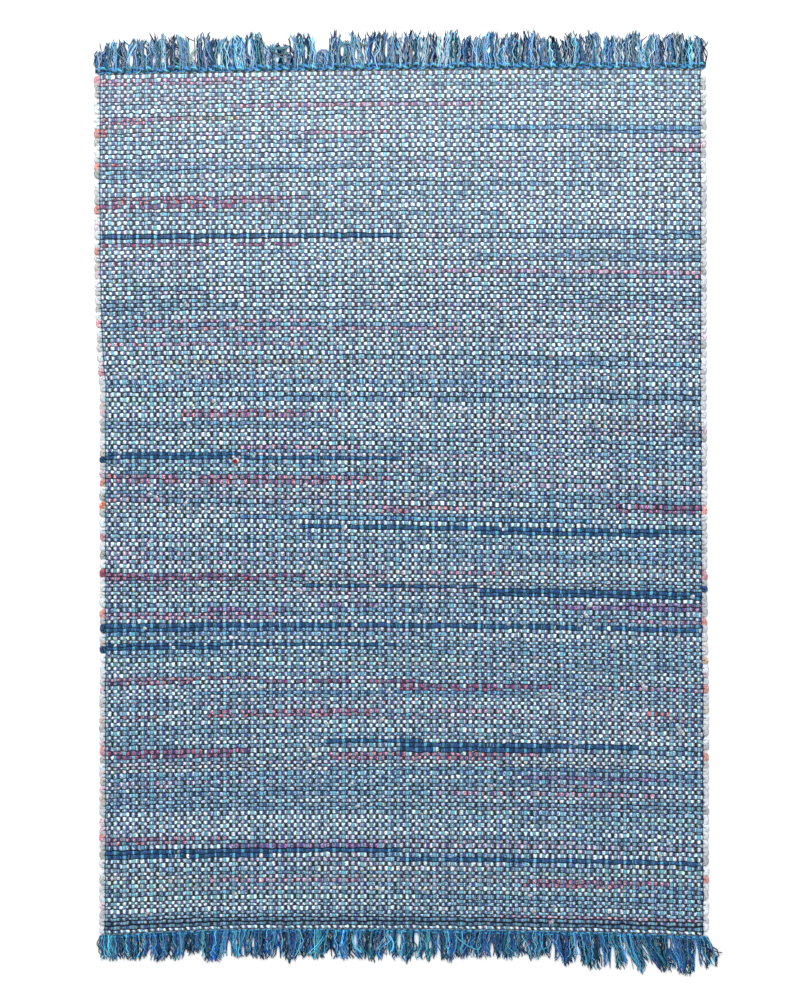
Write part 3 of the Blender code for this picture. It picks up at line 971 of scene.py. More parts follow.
def weave_piece(size, number, first, last, x, y, z, corner_x, corner_y, kinds, shades, material):
    """One closed strip of the weave between two warp groups: the face, an underside of one quad a cell just
    off the floor, and walls between. The weave map counts groups and rows, one row on underneath so that
    warp and rag change places."""
    rows, groups = size.weft_rows, last - first
    face_x, face_y, face_z = (grid[:, 2 * first:2 * last + 1] for grid in (x, y, z))
    lines, places = face_x.shape
    top = np.stack([face_x, face_y, face_z], axis=-1).reshape(-1, 3)
    under_x, under_y = corner_x[:, first:last + 1], corner_y[:, first:last + 1]
    number_row, number_group = np.meshgrid(np.arange(rows + 1), np.arange(groups + 1), indexing="ij")
    under_z = np.where((number_row + number_group) % 2 == 0, UNDER_LOW, UNDER_HIGH)
    under = np.stack([under_x, under_y, under_z], axis=-1).reshape(-1, 3)

    at = np.arange(lines * places).reshape(lines, places)
    low = np.arange((rows + 1) * (groups + 1)).reshape(rows + 1, groups + 1) + lines * places
    face_quads = quads_of(lines, places)
    under_quads = quads_of(rows + 1, groups + 1)[:, ::-1] + lines * places
    walls = []
    for side, flip in ((0, False), (-1, True)):
        edge, foot = at[:, side], low[:, side]
        wall = np.stack([foot[1:], foot[:-1], edge[0:-1:3], edge[1::3], edge[2::3], edge[3::3]], axis=-1)
        walls.append(wall[:, ::-1] if flip else wall)
    ends = []
    for side, flip in ((0, True), (-1, False)):
        edge, foot = at[side], low[side]
        end = np.stack([foot[1:], foot[:-1], edge[0:-1:2], edge[1::2], edge[2::2]], axis=-1)
        ends.append(end[:, ::-1] if flip else end)
    faces = [face_quads, under_quads, *walls, *ends]
    piece = add_mesh(f"weave_{number + 1}", np.concatenate([top, under]), faces, material)

    face_row = np.repeat(np.arange(lines - 1) // 3, places - 1)
    face_group = np.tile(np.arange(places - 1) // 2, lines - 1)
    under_row = np.repeat(np.arange(rows), groups)
    under_group = np.tile(np.arange(groups), rows)
    each_row, each_group = np.arange(rows), np.arange(groups)
    last_row = 0 * each_group + rows - 1
    row_of = np.concatenate([face_row, under_row, each_row, each_row, 0 * each_group, last_row])
    group_of = np.concatenate([face_group, under_group, 0 * each_row, 0 * each_row + groups - 1,
                               each_group, each_group]) + first
    dress_in_rag(piece, kinds[row_of, group_of], shades[row_of, group_of])

    group_lines, row_lines = np.arange(first, last + 1.0), np.arange(rows + 1.0)
    u_lines, v_lines = between(group_lines, HALVES, 0), between(row_lines, SHOULDERS, 0)
    top_map = np.stack(np.meshgrid(u_lines, v_lines), axis=-1).reshape(-1, 2)
    low_map = np.stack(np.meshgrid(group_lines, row_lines), axis=-1).reshape(-1, 2)
    is_low = np.arange(len(top_map) + len(low_map)) >= len(top_map)
    spot = np.concatenate([top_map, low_map])
    corners = np.concatenate([part.ravel() for part in faces])
    counts = np.concatenate([np.full(len(part), part.shape[1]) for part in faces])
    kind = np.repeat(np.concatenate([np.full(len(part), n) for n, part in enumerate(faces)]), counts)
    corner_row = np.repeat(row_of, counts)
    add_map(piece, "weave", spot[corners] + np.stack([0 * kind, kind == 1], axis=-1))
    folded = folded_map(spot[corners], is_low[corners], kind, corner_row, first, groups, rows)
    add_map(piece, "OFBake", folded)
    return piece


def folded_map(spot, is_low, kind, row, first, groups, rows):
    """The strip folded into the unit square: three lengths of its face side by side, then its underside,
    with each wall in the thin margin beside its own length and each end above or below the underside."""
    margin, wall, wall_width = 0.04, 0.02, 0.012
    fold = np.where((kind == 1) | (kind >= 4), FOLDS - 1, row // ROWS_A_FOLD)
    across = margin + (1 - 2 * margin) * (spot[:, 0] - first) / groups
    across = np.where(kind == 2, wall - wall_width * is_low, across)
    across = np.where(kind == 3, 1 - wall + wall_width * is_low, across)
    along = (spot[:, 1] - fold * ROWS_A_FOLD) / ROWS_A_FOLD
    along = np.where(kind == 1, spot[:, 1] / rows, along)
    along = margin + (1 - 2 * margin) * along
    along = np.where(kind == 4, wall - wall_width * is_low, along)
    along = np.where(kind == 5, 1 - wall + wall_width * is_low, along)
    return np.stack([(fold + across) / FOLDS, along], axis=-1)


def thread_piece(name, paths, wide, high, sides, material, spacing, columns):
    """Threads along their paths, an array of (threads, steps, 3), as one mesh with closed ends. Round each
    path point a the surface is point + wide cos a sideways + high sin a upwards, with sideways square to the
    path and to +Z. The thread map counts threads plus the share round them, and the length in spacings."""
    count, steps = paths.shape[:2]
    along = np.gradient(paths, axis=1)
    along /= np.linalg.norm(along, axis=2, keepdims=True)
    sideways = np.cross(along, (0.0, 0.0, 1.0))
    sideways /= np.linalg.norm(sideways, axis=2, keepdims=True) + 1e-12
    upwards = np.cross(sideways, along)
    angle = 2 * math.pi * np.arange(sides) / sides + math.pi / 2
    rim = (wide[..., None] * np.cos(angle))[..., None] * sideways[:, :, None]
    rim = rim + (high[..., None] * np.sin(angle))[..., None] * upwards[:, :, None]
    points = (paths[:, :, None] + rim).reshape(-1, 3)
    piece = add_mesh(name, points, ring_faces(count, steps, sides), material)

    length = np.linalg.norm(np.diff(paths, axis=1), axis=2)
    length = np.concatenate([np.zeros((count, 1)), np.cumsum(length, axis=1)], axis=1)
    threads, rims = np.arange(count), np.arange(sides)
    thread, step, side = np.meshgrid(threads, np.arange(steps - 1), rims, indexing="ij")
    thread4 = np.repeat(thread.ravel(), 4)
    side4 = np.repeat(side.ravel(), 4) + np.tile([0, 0, 1, 1], thread.size)
    step4 = np.repeat(step.ravel(), 4) + np.tile([0, 1, 1, 0], thread.size)
    cap_thread, cap_side = (part.ravel() for part in np.meshgrid(threads, rims, indexing="ij"))
    all_thread = np.concatenate([thread4, cap_thread, cap_thread])
    all_side = np.concatenate([side4, cap_side, sides - 1 - cap_side])
    all_step = np.concatenate([step4, 0 * cap_thread, 0 * cap_thread + steps - 1])
    around = all_side / sides
    distance = length[all_thread, all_step] / spacing
    add_map(piece, "thread", np.stack([all_thread + around, distance + 0.37 * all_thread], axis=-1))
    rows = math.ceil(count / columns)
    cap = 0.03 * (1 + (all_side % 2)) * (np.arange(len(all_thread)) >= len(thread4))
    share = all_step / (steps - 1) * (1 + cap) - cap * (all_step == 0)
    across = (all_thread % columns + 0.1 + 0.8 * around) / columns
    upward = (all_thread // columns + 0.08 + 0.84 * share) / rows
    add_map(piece, "OFBake", np.stack([across, upward], axis=-1))
    owner = np.concatenate([thread.ravel(), threads, threads])
    return piece, owner


def heading_line(size, way, corner_x, corner_y):
    """The cloth's short edge as x and y arrays, out to both selvedges."""
    line = -1 if way > 0 else 0
    left, right = long_edges(size, np.array([way * size.cloth_length / 2]))
    x = np.concatenate([left, corner_x[line], right])
    y = corner_y[line]
    return x, np.concatenate([y[:1], y, y[-1:]])


def loop_paths(size, side, corner_x, corner_y, chance):
    """A blunt hairpin for each pair of weft rows: x runs out from the cloth by cos a to the power 0.12 and y
    round the pair's middle by sin a, for a from minus to plus a quarter turn. Rows pair up one row later on
    the right than on the left, as one rag goes to and fro."""
    first = 0 if side < 0 else 1
    pair = np.arange(first, size.weft_rows - 1, 2)
    edge_group = 0 if side < 0 else -1
    low, middle, top = (corner_y[pair + n, edge_group] for n in range(3))
    inner = corner_x[pair + 1, edge_group] - side * LOOP_TUCK
    edges = long_edges(size, (low + top) / 2)
    edge = edges[0] if side < 0 else edges[1]
    wide = (top - low) * LOOP_HALF_WIDTH
    outer = edge - side * (wide + chance.uniform(0.0, LOOP_SLACK, len(pair)))
    turn = np.linspace(-math.pi / 2, math.pi / 2, LOOP_STEPS)
    reach = np.maximum(np.cos(turn), 0.0) ** LOOP_BLUNTNESS
    x = inner[:, None] + (outer - inner)[:, None] * reach
    tilt = chance.normal(0, LOOP_TILT, (len(pair), 1)) * reach
    y = middle[:, None] + ((top - low) * LOOP_TURN)[:, None] * np.sin(turn) + tilt
    y = y + chance.normal(0, LOOP_UNEVEN, x.shape)
    z = np.full_like(x, LOOP_MIDDLE) + chance.normal(0, 0.0001, x.shape)
    return middle, np.stack([x, y, z], axis=-1), wide[:, None] * (1 + chance.normal(0, LOOP_SWELL, x.shape))


def twined_paths(x, y, middle_z, turn_radius, ply_radius, twine_pitch, ply_pitch, plies, chance):
    """Two strands twined round each other, each of several plied yarns. A yarn's place across is
    turn_radius cos p + ply_radius cos q, with p turning once a twine pitch and q the other way once a ply
    pitch, and its height the same with sines, pressed flat. Yarns swell by TWINE_SWELL times sin p."""
    paths, swells = [], []
    for strand in (0, 1):
        slow = 2 * math.pi * x / twine_pitch + strand * math.pi + TWINE_SLIP * np.sin(x / TWINE_SLIP_LENGTH)
        for ply in range(plies):
            fast = -2 * math.pi * x / ply_pitch + 2 * math.pi * ply / plies
            across = turn_radius * np.cos(slow) + ply_radius * np.cos(fast)
            height = middle_z + TWINE_FLAT * turn_radius * np.sin(slow) + PLY_FLAT * ply_radius * np.sin(fast)
            wobble = chance.normal(0, YARN_WOBBLE, (2, len(x)))
            paths.append(np.stack([x, y + across + wobble[0], height + wobble[1]], axis=-1))
            swells.append(1 + TWINE_SWELL * np.sin(slow))
    return np.stack(paths), np.stack(swells)


def fringe_paths(size, way, clumps, holes, line_x, line_y, strip, right_end, chance):
    """A path for each loose warp yarn. Roots are even along the heading, and tips along the clump's own
    stretch. Between, x bends by a sway common to its neighbours, a wave shared by its lock, a crimp left by
    the weave, a slow wander of its own and a flick at its tip, and moves out of the table's holes; y runs out
    by its length; z falls from the heading to the floor."""
    rows = named(clumps, CLUMP_COLUMNS)
    root_ends = [row["root"] for row in rows[1:]] + [right_end]
    root, tip, reach = [], [], []
    for row, root_end in zip(rows, root_ends):
        count = round((root_end - row["root"]) / (size.yarn_spacing * (HEAD_SPARSE if way > 0 else 1.0)))
        share = (np.arange(count) + chance.uniform(0.1, 0.9, count)) / count
        cut = END_ROUNDING * (2 * share - 1) ** 2 + chance.uniform(*END_RAGGED, count)
        root.append(row["root"] + share * (root_end - row["root"]))
        even_tip = row["tip_from"] + share * (row["tip_to"] - row["tip_from"])
        tip.append(even_tip + chance.normal(0, TIP_SPREAD, count))
        reach.append(row["reach"] * (1 - cut))
    root, tip, reach = (np.concatenate(part) for part in (root, tip, reach))
    reach = reach + way * end_slip("head" if way > 0 else "foot", root / size.cloth_width + 0.5)
    count = len(root)
    lock = np.floor((root - root[0]) / LOCK_WIDTH + chance.uniform(-0.3, 0.3, count)).astype(int)
    lock -= lock.min()
    lock_tip = np.bincount(lock, tip) / np.maximum(np.bincount(lock), 1)
    tip = tip + LOCK_PULL * (lock_tip[lock] - tip)
    lock_wave = chance.normal(0, LOCK_WAVE, lock.max() + 1)[lock][:, None]
    lock_start = chance.uniform(0, 2 * math.pi, lock.max() + 1)[lock][:, None]
    s = np.linspace(0, 1, FRINGE_STEPS)
    sway = SWAY * np.sin(2 * math.pi * root / SWAY_LENGTH)
    start = chance.uniform(0, 2 * math.pi, (3, count, 1))
    loose = np.minimum(1.0, 2.5 * s)
    crimp = size.crimp * chance.uniform(0.3, 1.6, (count, 1)) * loose
    crimp_turns = (reach / chance.uniform(*CRIMP_LENGTHS, count))[:, None]
    slow = np.where(chance.random((count, 1)) < STRAY_SHARE, STRAY_BEND, CALM_BEND) * loose
    flick = chance.normal(0, TIP_FLICK, (count, 1)) * (np.maximum(s - FLICK_FROM, 0.0) / FLICK_SPAN) ** 2
    x = root[:, None] + (tip - root)[:, None] * s ** 1.15 + sway[:, None] * 4 * s * (1 - s)
    x = x + crimp * np.sin(2 * math.pi * crimp_turns * s + start[0])
    x = x + slow * np.sin(math.pi * 1.7 * s + start[1]) + flick
    x = x + lock_wave * loose * np.sin(2 * math.pi * 1.3 * s + lock_start)
    lead = strip * YARN_LEAD
    root_y = np.interp(root, line_x, line_y) + way * (strip - lead)
    y = root_y[:, None] + way * (lead + reach)[:, None] * s
    y = y + CRIMP_LENGTHWAYS * loose * np.sin(2 * math.pi * crimp_turns * 0.8 * s + start[2])
    for row in named(holes, HOLE_COLUMNS):
        hole_x, hole_y = at_pixel(row["x"], row["y"])
        depth = 1 - ((y - hole_y) / (row["half_length"] * PIXEL)) ** 2
        half = row["half_width"] * PIXEL * np.sqrt(np.maximum(depth, 0.0))
        off = x - hole_x
        side = np.where((off * (depth > 0)).sum(axis=1, keepdims=True) < 0, -1, 1)
        x = np.where(np.abs(off) < half, hole_x + side * (half + HOLE_CROWDING * np.abs(off)), x)
    layer = chance.uniform(0, 1, (count, 1))
    end_layer = 0.6 * layer + 0.4 * chance.uniform(0, 1, (count, 1))
    fall = (1 - s) ** 1.4
    z = (size.yarn_radius * 1.8 + (ROOT_LIFT + ROOT_LAYERS * layer) * fall
         + TIP_LAYERS * end_layer * (1 - fall))
    # Painted light and shade: each lock of yarns a little lighter or darker, as if lit or shaded
    lit = 1 + LOCK_LIGHT * chance.uniform(-1, 1, lock.max() + 1)[lock]
    return np.stack([x, y, z], axis=-1), root, layer[:, 0], lit


def strand_paths(strands, chance):
    """Yarns that lie across a fringe: from start to end, bent aside by bend times 4 s (1 - s), s running
    from none to one, and arched by the same up from near the floor."""
    s = np.linspace(0, 1, FRINGE_STEPS)
    arch = 4 * s * (1 - s)
    paths, tones = [], []
    for row in named(strands, STRAND_COLUMNS):
        start = np.array(at_pixel(row["from_x"], row["from_y"]))
        end = np.array(at_pixel(row["to_x"], row["to_y"]))
        aside = np.array([start[1] - end[1], end[0] - start[0]])
        aside = aside / np.hypot(*aside)
        for number in range(row["yarns"]):
            place = start + (end - start) * s[:, None] + aside * (row["bend"] * PIXEL * arch)[:, None]
            place = place + aside * (number * STRAND_SPACING) + chance.normal(0, STRAND_WOBBLE, place.shape)
            height = STRAND_LIFT + STRAND_ARCH * arch
            paths.append(np.concatenate([place, height[:, None]], axis=1))
            tones.append(row["tone"])
    return np.stack(paths), np.array(tones)


def lumpy_balls(name, centres, sizes, turns, material):
    """Lumpy balls in one mesh: the point of a sphere at polar angle b and turn a, times three half-sizes and
    times one and a lump of sin 3a times sin 4b, cut flat near both poles."""
    rings, places = 5, 8
    b = (math.pi * np.arange(1, rings + 1) / (rings + 1))[:, None]
    a = np.linspace(0, 2 * math.pi, places, endpoint=False)[None, :]
    ball = np.stack([np.sin(b) * np.cos(a), np.sin(b) * np.sin(a), np.cos(b) + 0 * a], axis=-1)
    turn = turns[:, None, None]
    swell = 1 + LUMP_DEPTH * np.sin(3 * a + turn) * np.sin(4 * b + 2 * turn)
    points = centres[:, None, None] + ball[None] * swell[..., None] * sizes[:, None, None]
    faces = ring_faces(len(centres), rings, places)
    piece = add_mesh(name, points.reshape(-1, 3), faces, material)
    corners = np.concatenate([part.ravel() for part in faces])
    ball_of, spot = corners // (rings * places), corners % (rings * places)
    add_map(piece, "thread", np.stack([ball_of + spot % places / (places + 1), spot // places], axis=-1))
    balls = np.arange(len(centres))
    return piece, np.concatenate([np.repeat(balls, (rings - 1) * places), balls, balls])


def dress_in_rag(piece, kind, shade):
    """Gives each face the ground, cover and print colours of its rag cloth."""
    cover = column(RAGS, RAG_COLUMNS, "cover")[kind][:, None]
    ground = column(RAGS, RAG_COLUMNS, "ground")[kind] * shade[:, None]
    add_colours(piece, "rag_ground", np.concatenate([ground, cover], axis=-1))
    prints = column(RAGS, RAG_COLUMNS, "print")[kind]
    add_colours(piece, "rag_print", np.concatenate([prints, np.ones_like(cover)], axis=-1))


def wear(piece, slot, *nodes):
    """The piece rides on the rug's one body and stands for the CAD nodes, which it hides. The slot is not
    used.
    """
    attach(piece, "root")
    if nodes:
        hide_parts(*nodes)
    return piece


def metres(name, description, default):
    """A length in the panel, in metres."""
    return bpy.props.FloatProperty(
        name=name, description=description, default=default, subtype="DISTANCE", unit="LENGTH")


def paint(name, description, default):
    """A linear colour in the panel."""
    return bpy.props.FloatVectorProperty(
        name=name, description=description, default=(*default, 1.0),
        subtype="COLOR", size=4, min=0.0, max=1.0)


class RugSizes(bpy.types.PropertyGroup):
    """Sizes of the rug's cloth and threads."""

    cloth_width: metres("Cloth width", "Width over both selvedges", BODY_HIGH.x - BODY_LOW.x)
    cloth_length: metres("Cloth length", "Length between the two headings", 1.956)
    weft_rows: bpy.props.IntProperty(name="Weft rows", description="Rag rows along the cloth", default=214)
    warp_groups: bpy.props.IntProperty(name="Warp groups", description="Groups of warp yarn", default=197)
    loop_strip: metres("Loop strip", "How far the rag loops stand out from the last warp group", 0.0135)
    rag_crown: metres("Rag crown", "Height of the rag where it lies on top", BODY_HIGH.z)
    warp_crown: metres("Warp crown", "Height of the warp yarns where they lie on top", 0.0059)
    side_height: metres("Side height", "Height where warp and rag change places", 0.0051)
    gap_height: metres("Gap height", "Height in the gap between two rows", 0.0042)
    corner_height: metres("Corner height", "Height at the corners of the cells", 0.0038)
    yarn_radius: metres("Yarn radius", "Half the thickness of a loose warp yarn", 0.00105)
    yarn_spacing: metres("Yarn spacing", "From one loose warp yarn's root to the next", 0.00107)
    crimp: metres("Crimp", "How far a loose warp yarn waves to each side", 0.0014)


class RugColours(bpy.types.PropertyGroup):
    """Colours of the yarns and of the studio."""

    turquoise: paint("Turquoise", "First warp yarn", (0.105, 0.455, 0.61))
    royal_blue: paint("Royal blue", "Second warp yarn", (0.040, 0.083, 0.27))
    dark_green: paint("Dark green", "Third warp yarn", (0.014, 0.055, 0.066))
    thin_blue: paint("Thin blue", "Thin yarn between the warp groups", (0.030, 0.066, 0.24))
    mid_blue: paint("Mid blue", "Lighter blue of the headings and the fringe", (0.050, 0.200, 0.450))
    heading_blue: paint("Heading blue", "Deep blue of the headings and the fringe", (0.010, 0.095, 0.37))
    gap: paint("Gap", "Shadow between the weft rows", (0.006, 0.010, 0.024))
    floor: paint("Floor", "Plain studio floor", (0.93, 0.93, 0.93))


class RUG_OT_weave(bpy.types.Operator):
    """Weaves the cloth in strips of whole warp groups."""

    bl_idname = "rug.weave"
    bl_label = "Weave"

    def execute(self, context):
        size, colours = context.scene.rug_sizes, context.scene.rug_colours
        corner_x, corner_y = weave_corners(size)
        x = between(between(corner_x, SHOULDERS, 0), HALVES, 1)
        y = between(between(corner_y, SHOULDERS, 0), HALVES, 1)
        z = weave_height(size, size.weft_rows, size.warp_groups)
        kinds, shades = plan_rags(size, corner_x, corner_y)
        material = weave_material(colours, size.weft_rows, size.warp_groups)
        cuts = np.linspace(0, size.warp_groups, STRIPS + 1).round().astype(int)
        for number in range(STRIPS):
            first, last = int(cuts[number]), int(cuts[number + 1])
            piece = weave_piece(
                size, number, first, last, x, y, z, corner_x, corner_y, kinds, shades, material)
            wear(piece, "rag_weave", "rug_body")
        return {"FINISHED"}


class RUG_OT_selvedges(bpy.types.Operator):
    """Lays the rag loops along both long edges, each in the cloth of its own rows."""

    bl_idname = "rug.selvedges"
    bl_label = "Selvedges"

    def execute(self, context):
        size = context.scene.rug_sizes
        corner_x, corner_y = weave_corners(size)
        material = rag_material()
        chance = np.random.default_rng(SEED + 3)
        pale = [RAG_NAMES.index(name) for name in PALE_RAGS]
        for name, side in (("selvedge_left", -1), ("selvedge_right", 1)):
            middle, paths, wide = loop_paths(size, side, corner_x, corner_y, chance)
            high = np.full_like(wide, LOOP_HALF_HEIGHT) * (1 + chance.normal(0, LOOP_SWELL, wide.shape))
            piece, owner = thread_piece(name, paths, wide, high, 8, material, THREAD_SPACING, 12)
            kind = chance.choice(pale, len(middle), p=PALE_SHARES)
            for row in named(LOOPS, LOOP_COLUMNS):
                if row["side"] == side:
                    nearest = np.abs(middle - at_pixel(0, row["y"])[1]).argmin()
                    kind[nearest] = RAG_NAMES.index(row["rag"])
            shade = chance.uniform(0.80, 1.0, len(middle))
            dress_in_rag(piece, kind[owner], shade[owner])
            wear(piece, "rag_weave", "rug_body")
        return {"FINISHED"}


class RUG_OT_headings(bpy.types.Operator):
    """Twines a cord of blue yarns along each short edge of the cloth."""

    bl_idname = "rug.headings"
    bl_label = "Headings"

    def execute(self, context):
        size, colours = context.scene.rug_sizes, context.scene.rug_colours
        corner_x, corner_y = weave_corners(size)
        material = yarn_material()
        chance = np.random.default_rng(SEED + 4)
        tones = np.array([colours.turquoise, colours.royal_blue, colours.mid_blue, colours.turquoise,
                          colours.mid_blue, colours.dark_green, colours.dark_green, colours.mid_blue])
        tones[:, :3] *= HEADING_LIGHT
        for name, way, strip, node in (("heading_head", 1, HEAD_STRIP, "fringe_head"),
                                       ("heading_foot", -1, FOOT_STRIP, "fringe_foot")):
            line_x, line_y = heading_line(size, way, corner_x, corner_y)
            x = np.arange(line_x[0] + 0.004, line_x[-1] - 0.002, HEADING_STEP)
            y = np.interp(x, line_x, line_y) + way * (PART_GAP + strip * HEADING_MIDDLE)
            pitch = strip * 0.8 + TWINE_PITCH
            paths, swells = twined_paths(
                x, y, HEADING_HEIGHT, strip * HEADING_TURN, strip * HEADING_PLY, pitch,
                strip * HEADING_PLY_PITCH, HEADING_PLIES, chance)
            radius = strip * HEADING_YARN * swells
            radius[:, [0, -1]] *= 0.4
            piece, owner = thread_piece(name, paths, radius, radius * 0.55, 4, material, THREAD_SPACING, 8)
            add_colours(piece, "yarn_colour", tones[owner % len(tones)])
            wear(piece, "blue_warp_yarn", node)
        return {"FINISHED"}


class RUG_OT_fringes(bpy.types.Operator):
    """Lets the warp yarns hang loose past each heading."""

    bl_idname = "rug.fringes"
    bl_label = "Fringes"

    def execute(self, context):
        size, colours = context.scene.rug_sizes, context.scene.rug_colours
        corner_x, corner_y = weave_corners(size)
        material = bpy.data.materials["warp_yarn"]
        chance = np.random.default_rng(SEED + 5)
        tones = np.array([colours.turquoise, colours.royal_blue, colours.dark_green, colours.thin_blue,
                          colours.heading_blue, colours.mid_blue])
        for name, way, strip, clumps, holes, strands, node in (
                ("yarns_head", 1, HEAD_STRIP, HEAD_CLUMPS, HEAD_HOLES, HEAD_STRANDS, "fringe_head"),
                ("yarns_foot", -1, FOOT_STRIP, FOOT_CLUMPS, FOOT_HOLES, FOOT_STRANDS, "fringe_foot")):
            line_x, line_y = heading_line(size, way, corner_x, corner_y)
            paths, root, layer, lit = fringe_paths(
                size, way, clumps, holes, line_x, line_y, strip, line_x[-1] - 0.003, chance)
            end_line = corner_x[-1 if way > 0 else 0]
            group = np.interp(root, end_line, np.arange(size.warp_groups + 1.0)).astype(int)
            mixed = chance.choice(len(tones), len(root), p=FRINGE_SHARES)
            mixed = np.repeat(mixed, YARNS_TOGETHER)[:len(root)]
            tone = np.where(chance.random(len(root)) < 0.30, group % 3, mixed)
            across, across_tone = strand_paths(strands, chance)
            paths, tone = np.concatenate([paths, across]), np.concatenate([tone, across_tone])
            radius = np.full(paths.shape[:2], size.yarn_radius) * chance.uniform(0.75, 1.25, (len(tone), 1))
            radius = radius * np.linspace(0.88, 1.25, FRINGE_STEPS)
            radius[:, 0] *= 0.5
            radius[:, -1] *= 0.5
            piece, owner = thread_piece(name, paths, radius, radius, 3, material, THREAD_SPACING, 140)
            layer = np.concatenate([layer, np.full(len(across), 0.9)])
            lit = np.concatenate([lit, np.ones(len(across))])
            # Painted light and shade: yarns high in the pile lighter, deep ones darker, each lock lighter or
            # darker, and at the head end the highest yarns get a painted pale highlight
            highlight = layer[:, None] ** 5 * (HEAD_HIGHLIGHT if way > 0 else 0.0)
            light = (HEAD_LIGHT if way > 0 else FOOT_LIGHT) * (DEEPEST + (1.3 - DEEPEST) * layer) * lit
            light = np.minimum(light, BRIGHTEST)
            colour = tones[tone] + highlight * (HIGHLIGHT_TONE - tones[tone])
            colour[:, :3] *= light[:, None]
            add_colours(piece, "yarn_colour", colour[owner])
            wear(piece, "blue_warp_yarn", node)
        return {"FINISHED"}


class RUG_OT_frays(bpy.types.Operator):
    """Scatters the frayed threads and puffs of rag, and ties the red and white knot."""

    bl_idname = "rug.frays"
    bl_label = "Frays and puffs"

    def execute(self, context):
        size = context.scene.rug_sizes
        chance = np.random.default_rng(SEED + 6)
        corner_x, corner_y = weave_corners(size)
        yarn, rag = bpy.data.materials["warp_yarn"], bpy.data.materials["rag_strip"]

        spots = chance.integers((2, 2), (size.weft_rows - 2, size.warp_groups - 2), (FRAY_SPOTS, 2))
        spots = np.repeat(spots, chance.integers(1, 4, FRAY_SPOTS), axis=0)
        count = len(spots)
        s = np.linspace(0, 1, FRAY_STEPS)
        heading = chance.uniform(0, 2 * math.pi, (count, 1))
        length = chance.uniform(FRAY_SHORTEST, FRAY_LONGEST, (count, 1))
        bend = chance.uniform(-1.6, 1.6, (count, 1))
        x = corner_x[spots[:, 0], spots[:, 1]][:, None] + chance.normal(0, 0.002, (count, 1))
        y = corner_y[spots[:, 0], spots[:, 1]][:, None] + chance.normal(0, 0.002, (count, 1))
        x = x + length * s * np.cos(heading + bend * s)
        y = y + length * s * np.sin(heading + bend * s)
        z = FRAY_LIFT + FRAY_ARCH * np.sin(math.pi * s) * chance.uniform(0.3, 1.0, (count, 1))
        radius = np.full((count, FRAY_STEPS), FRAY_RADIUS) * (1 - 0.5 * s)
        threads, owner = thread_piece("frayed_threads", np.stack([x, y, z], axis=-1), radius, radius, 3, yarn,
                                      0.003, 40)
        add_colours(threads, "yarn_colour", np.array(FRAY_TONES)[chance.integers(0, 3, count)[owner]])
        wear(threads, "rag_weave")

        spots = chance.integers((2, 2), (size.weft_rows - 2, size.warp_groups - 2), (PUFFS, 2))
        centres = np.stack([corner_x[spots[:, 0], spots[:, 1]], corner_y[spots[:, 0], spots[:, 1]],
                            np.full(PUFFS, PUFF_LIFT)], axis=-1)
        sizes = chance.uniform(PUFF_SMALLEST, PUFF_LARGEST, (PUFFS, 3))
        pale = [RAG_NAMES.index(name) for name in PALE_RAGS]
        kind, shade = chance.choice(pale, PUFFS, p=PALE_SHARES), np.ones(PUFFS)
        knot = np.array([*at_pixel(KNOT_X_PX, KNOT_Y_PX), KNOT_LIFT])
        centres[0], sizes[0], kind[0] = knot, KNOT_WHITE_SIZE, RAG_NAMES.index("white")
        centres[1], sizes[1], kind[1] = knot + KNOT_TOP, KNOT_RED_SIZE, RAG_NAMES.index("red")
        puffs, owner = lumpy_balls("rag_puffs", centres, sizes, chance.uniform(0, 2 * math.pi, PUFFS), rag)
        dress_in_rag(puffs, kind[owner], shade[owner])
        wear(puffs, "rag_weave")
        return {"FINISHED"}


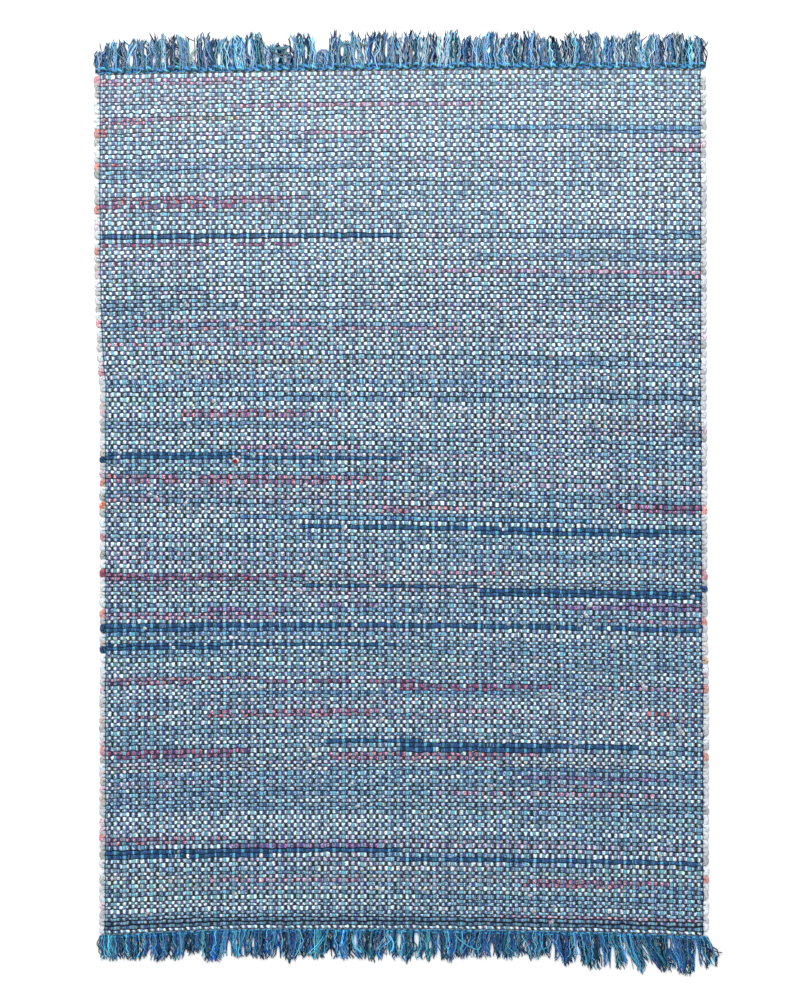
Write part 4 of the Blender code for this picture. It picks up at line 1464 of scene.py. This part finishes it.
class RUG_OT_stage(bpy.types.Operator):
    """Lays the floor and sets the soft lights and the camera straight above the rug."""

    bl_idname = "rug.stage"
    bl_label = "Studio"

    def execute(self, context):
        scene, colours = context.scene, context.scene.rug_colours
        g = Graph("studio_floor", 0.9, 0.0)
        speckle = g.noise(g.node("TexCoord").outputs["Object"], 3.0, 3.0)
        tone = g.shade(tuple(colours.floor), g.line(0.995, speckle, 0.01))
        material = g.finish(tone, speckle, 0.0005, 0.1)
        grid = FLOOR_HALF * np.array([(-1, -1, 0), (1, -1, 0), (1, 1, 0), (-1, 1, 0)])
        floor = add_mesh("floor", grid, [np.array([[0, 1, 2, 3]])], material)

        world = bpy.data.worlds.new("studio")
        world.use_nodes = True
        world.node_tree.nodes["Background"].inputs["Color"].default_value = (1.0, 1.0, 1.0, 1.0)
        world.node_tree.nodes["Background"].inputs["Strength"].default_value = SKY_STRENGTH
        scene.world = world

        key_lamp = bpy.data.lights.new("soft_key", "SUN")
        key_lamp.energy = KEY_ENERGY
        key_lamp.angle = KEY_SPREAD
        key = add_object("soft_key", key_lamp)
        key.rotation_euler = KEY_TURN

        box_lamp = bpy.data.lights.new("head_softbox", "AREA")
        box_lamp.shape = "RECTANGLE"
        box_lamp.size, box_lamp.size_y = BOX_WIDTH, BOX_DEPTH
        box_lamp.energy = BOX_ENERGY
        softbox = add_object("head_softbox", box_lamp)
        softbox.location = BOX_PLACE
        softbox.rotation_euler = BOX_TURN
        softbox.visible_camera = False

        camera_data = bpy.data.cameras.new("above")
        camera_data.lens = LENS
        camera_data.sensor_width = SENSOR
        camera = add_object("above", camera_data)
        centre_x, centre_y = at_pixel(PHOTO_WIDTH_PX / 2, PHOTO_HEIGHT_PX / 2)
        camera.location = (centre_x, centre_y, PHOTO_HEIGHT_PX * PIXEL * LENS / SENSOR + CAMERA_CLEARANCE)
        bpy.context.scene.camera = camera
        scene.view_settings.view_transform = "Standard"
        return {"FINISHED"}


class RUG_PT_panel(bpy.types.Panel):
    """Sizes, colours and makers of the rug."""

    bl_idname = "RUG_PT_panel"
    bl_label = "Rag rug"
    bl_space_type = "VIEW_3D"
    bl_region_type = "UI"
    bl_category = "Rag rug"

    def draw(self, context):
        for group in (context.scene.rug_sizes, context.scene.rug_colours):
            box = self.layout.box()
            for name in group.__annotations__:
                box.prop(group, name)
        for maker in MAKERS:
            self.layout.operator(maker.bl_idname)


MAKERS = (RUG_OT_weave, RUG_OT_selvedges, RUG_OT_headings, RUG_OT_fringes, RUG_OT_frays, RUG_OT_stage)
CLASSES = (RugSizes, RugColours, *MAKERS, RUG_PT_panel)


def register():
    for made in CLASSES:
        bpy.utils.register_class(made)
    bpy.types.Scene.rug_sizes = bpy.props.PointerProperty(type=RugSizes)
    bpy.types.Scene.rug_colours = bpy.props.PointerProperty(type=RugColours)


def unregister():
    del bpy.types.Scene.rug_colours
    del bpy.types.Scene.rug_sizes
    for made in reversed(CLASSES):
        bpy.utils.unregister_class(made)


def main():
    register()
    bpy.ops.rug.weave()
    bpy.ops.rug.selvedges()
    bpy.ops.rug.headings()
    bpy.ops.rug.fringes()
    bpy.ops.rug.frays()
    bpy.ops.rug.stage()


if __name__ == "__main__":
    main()
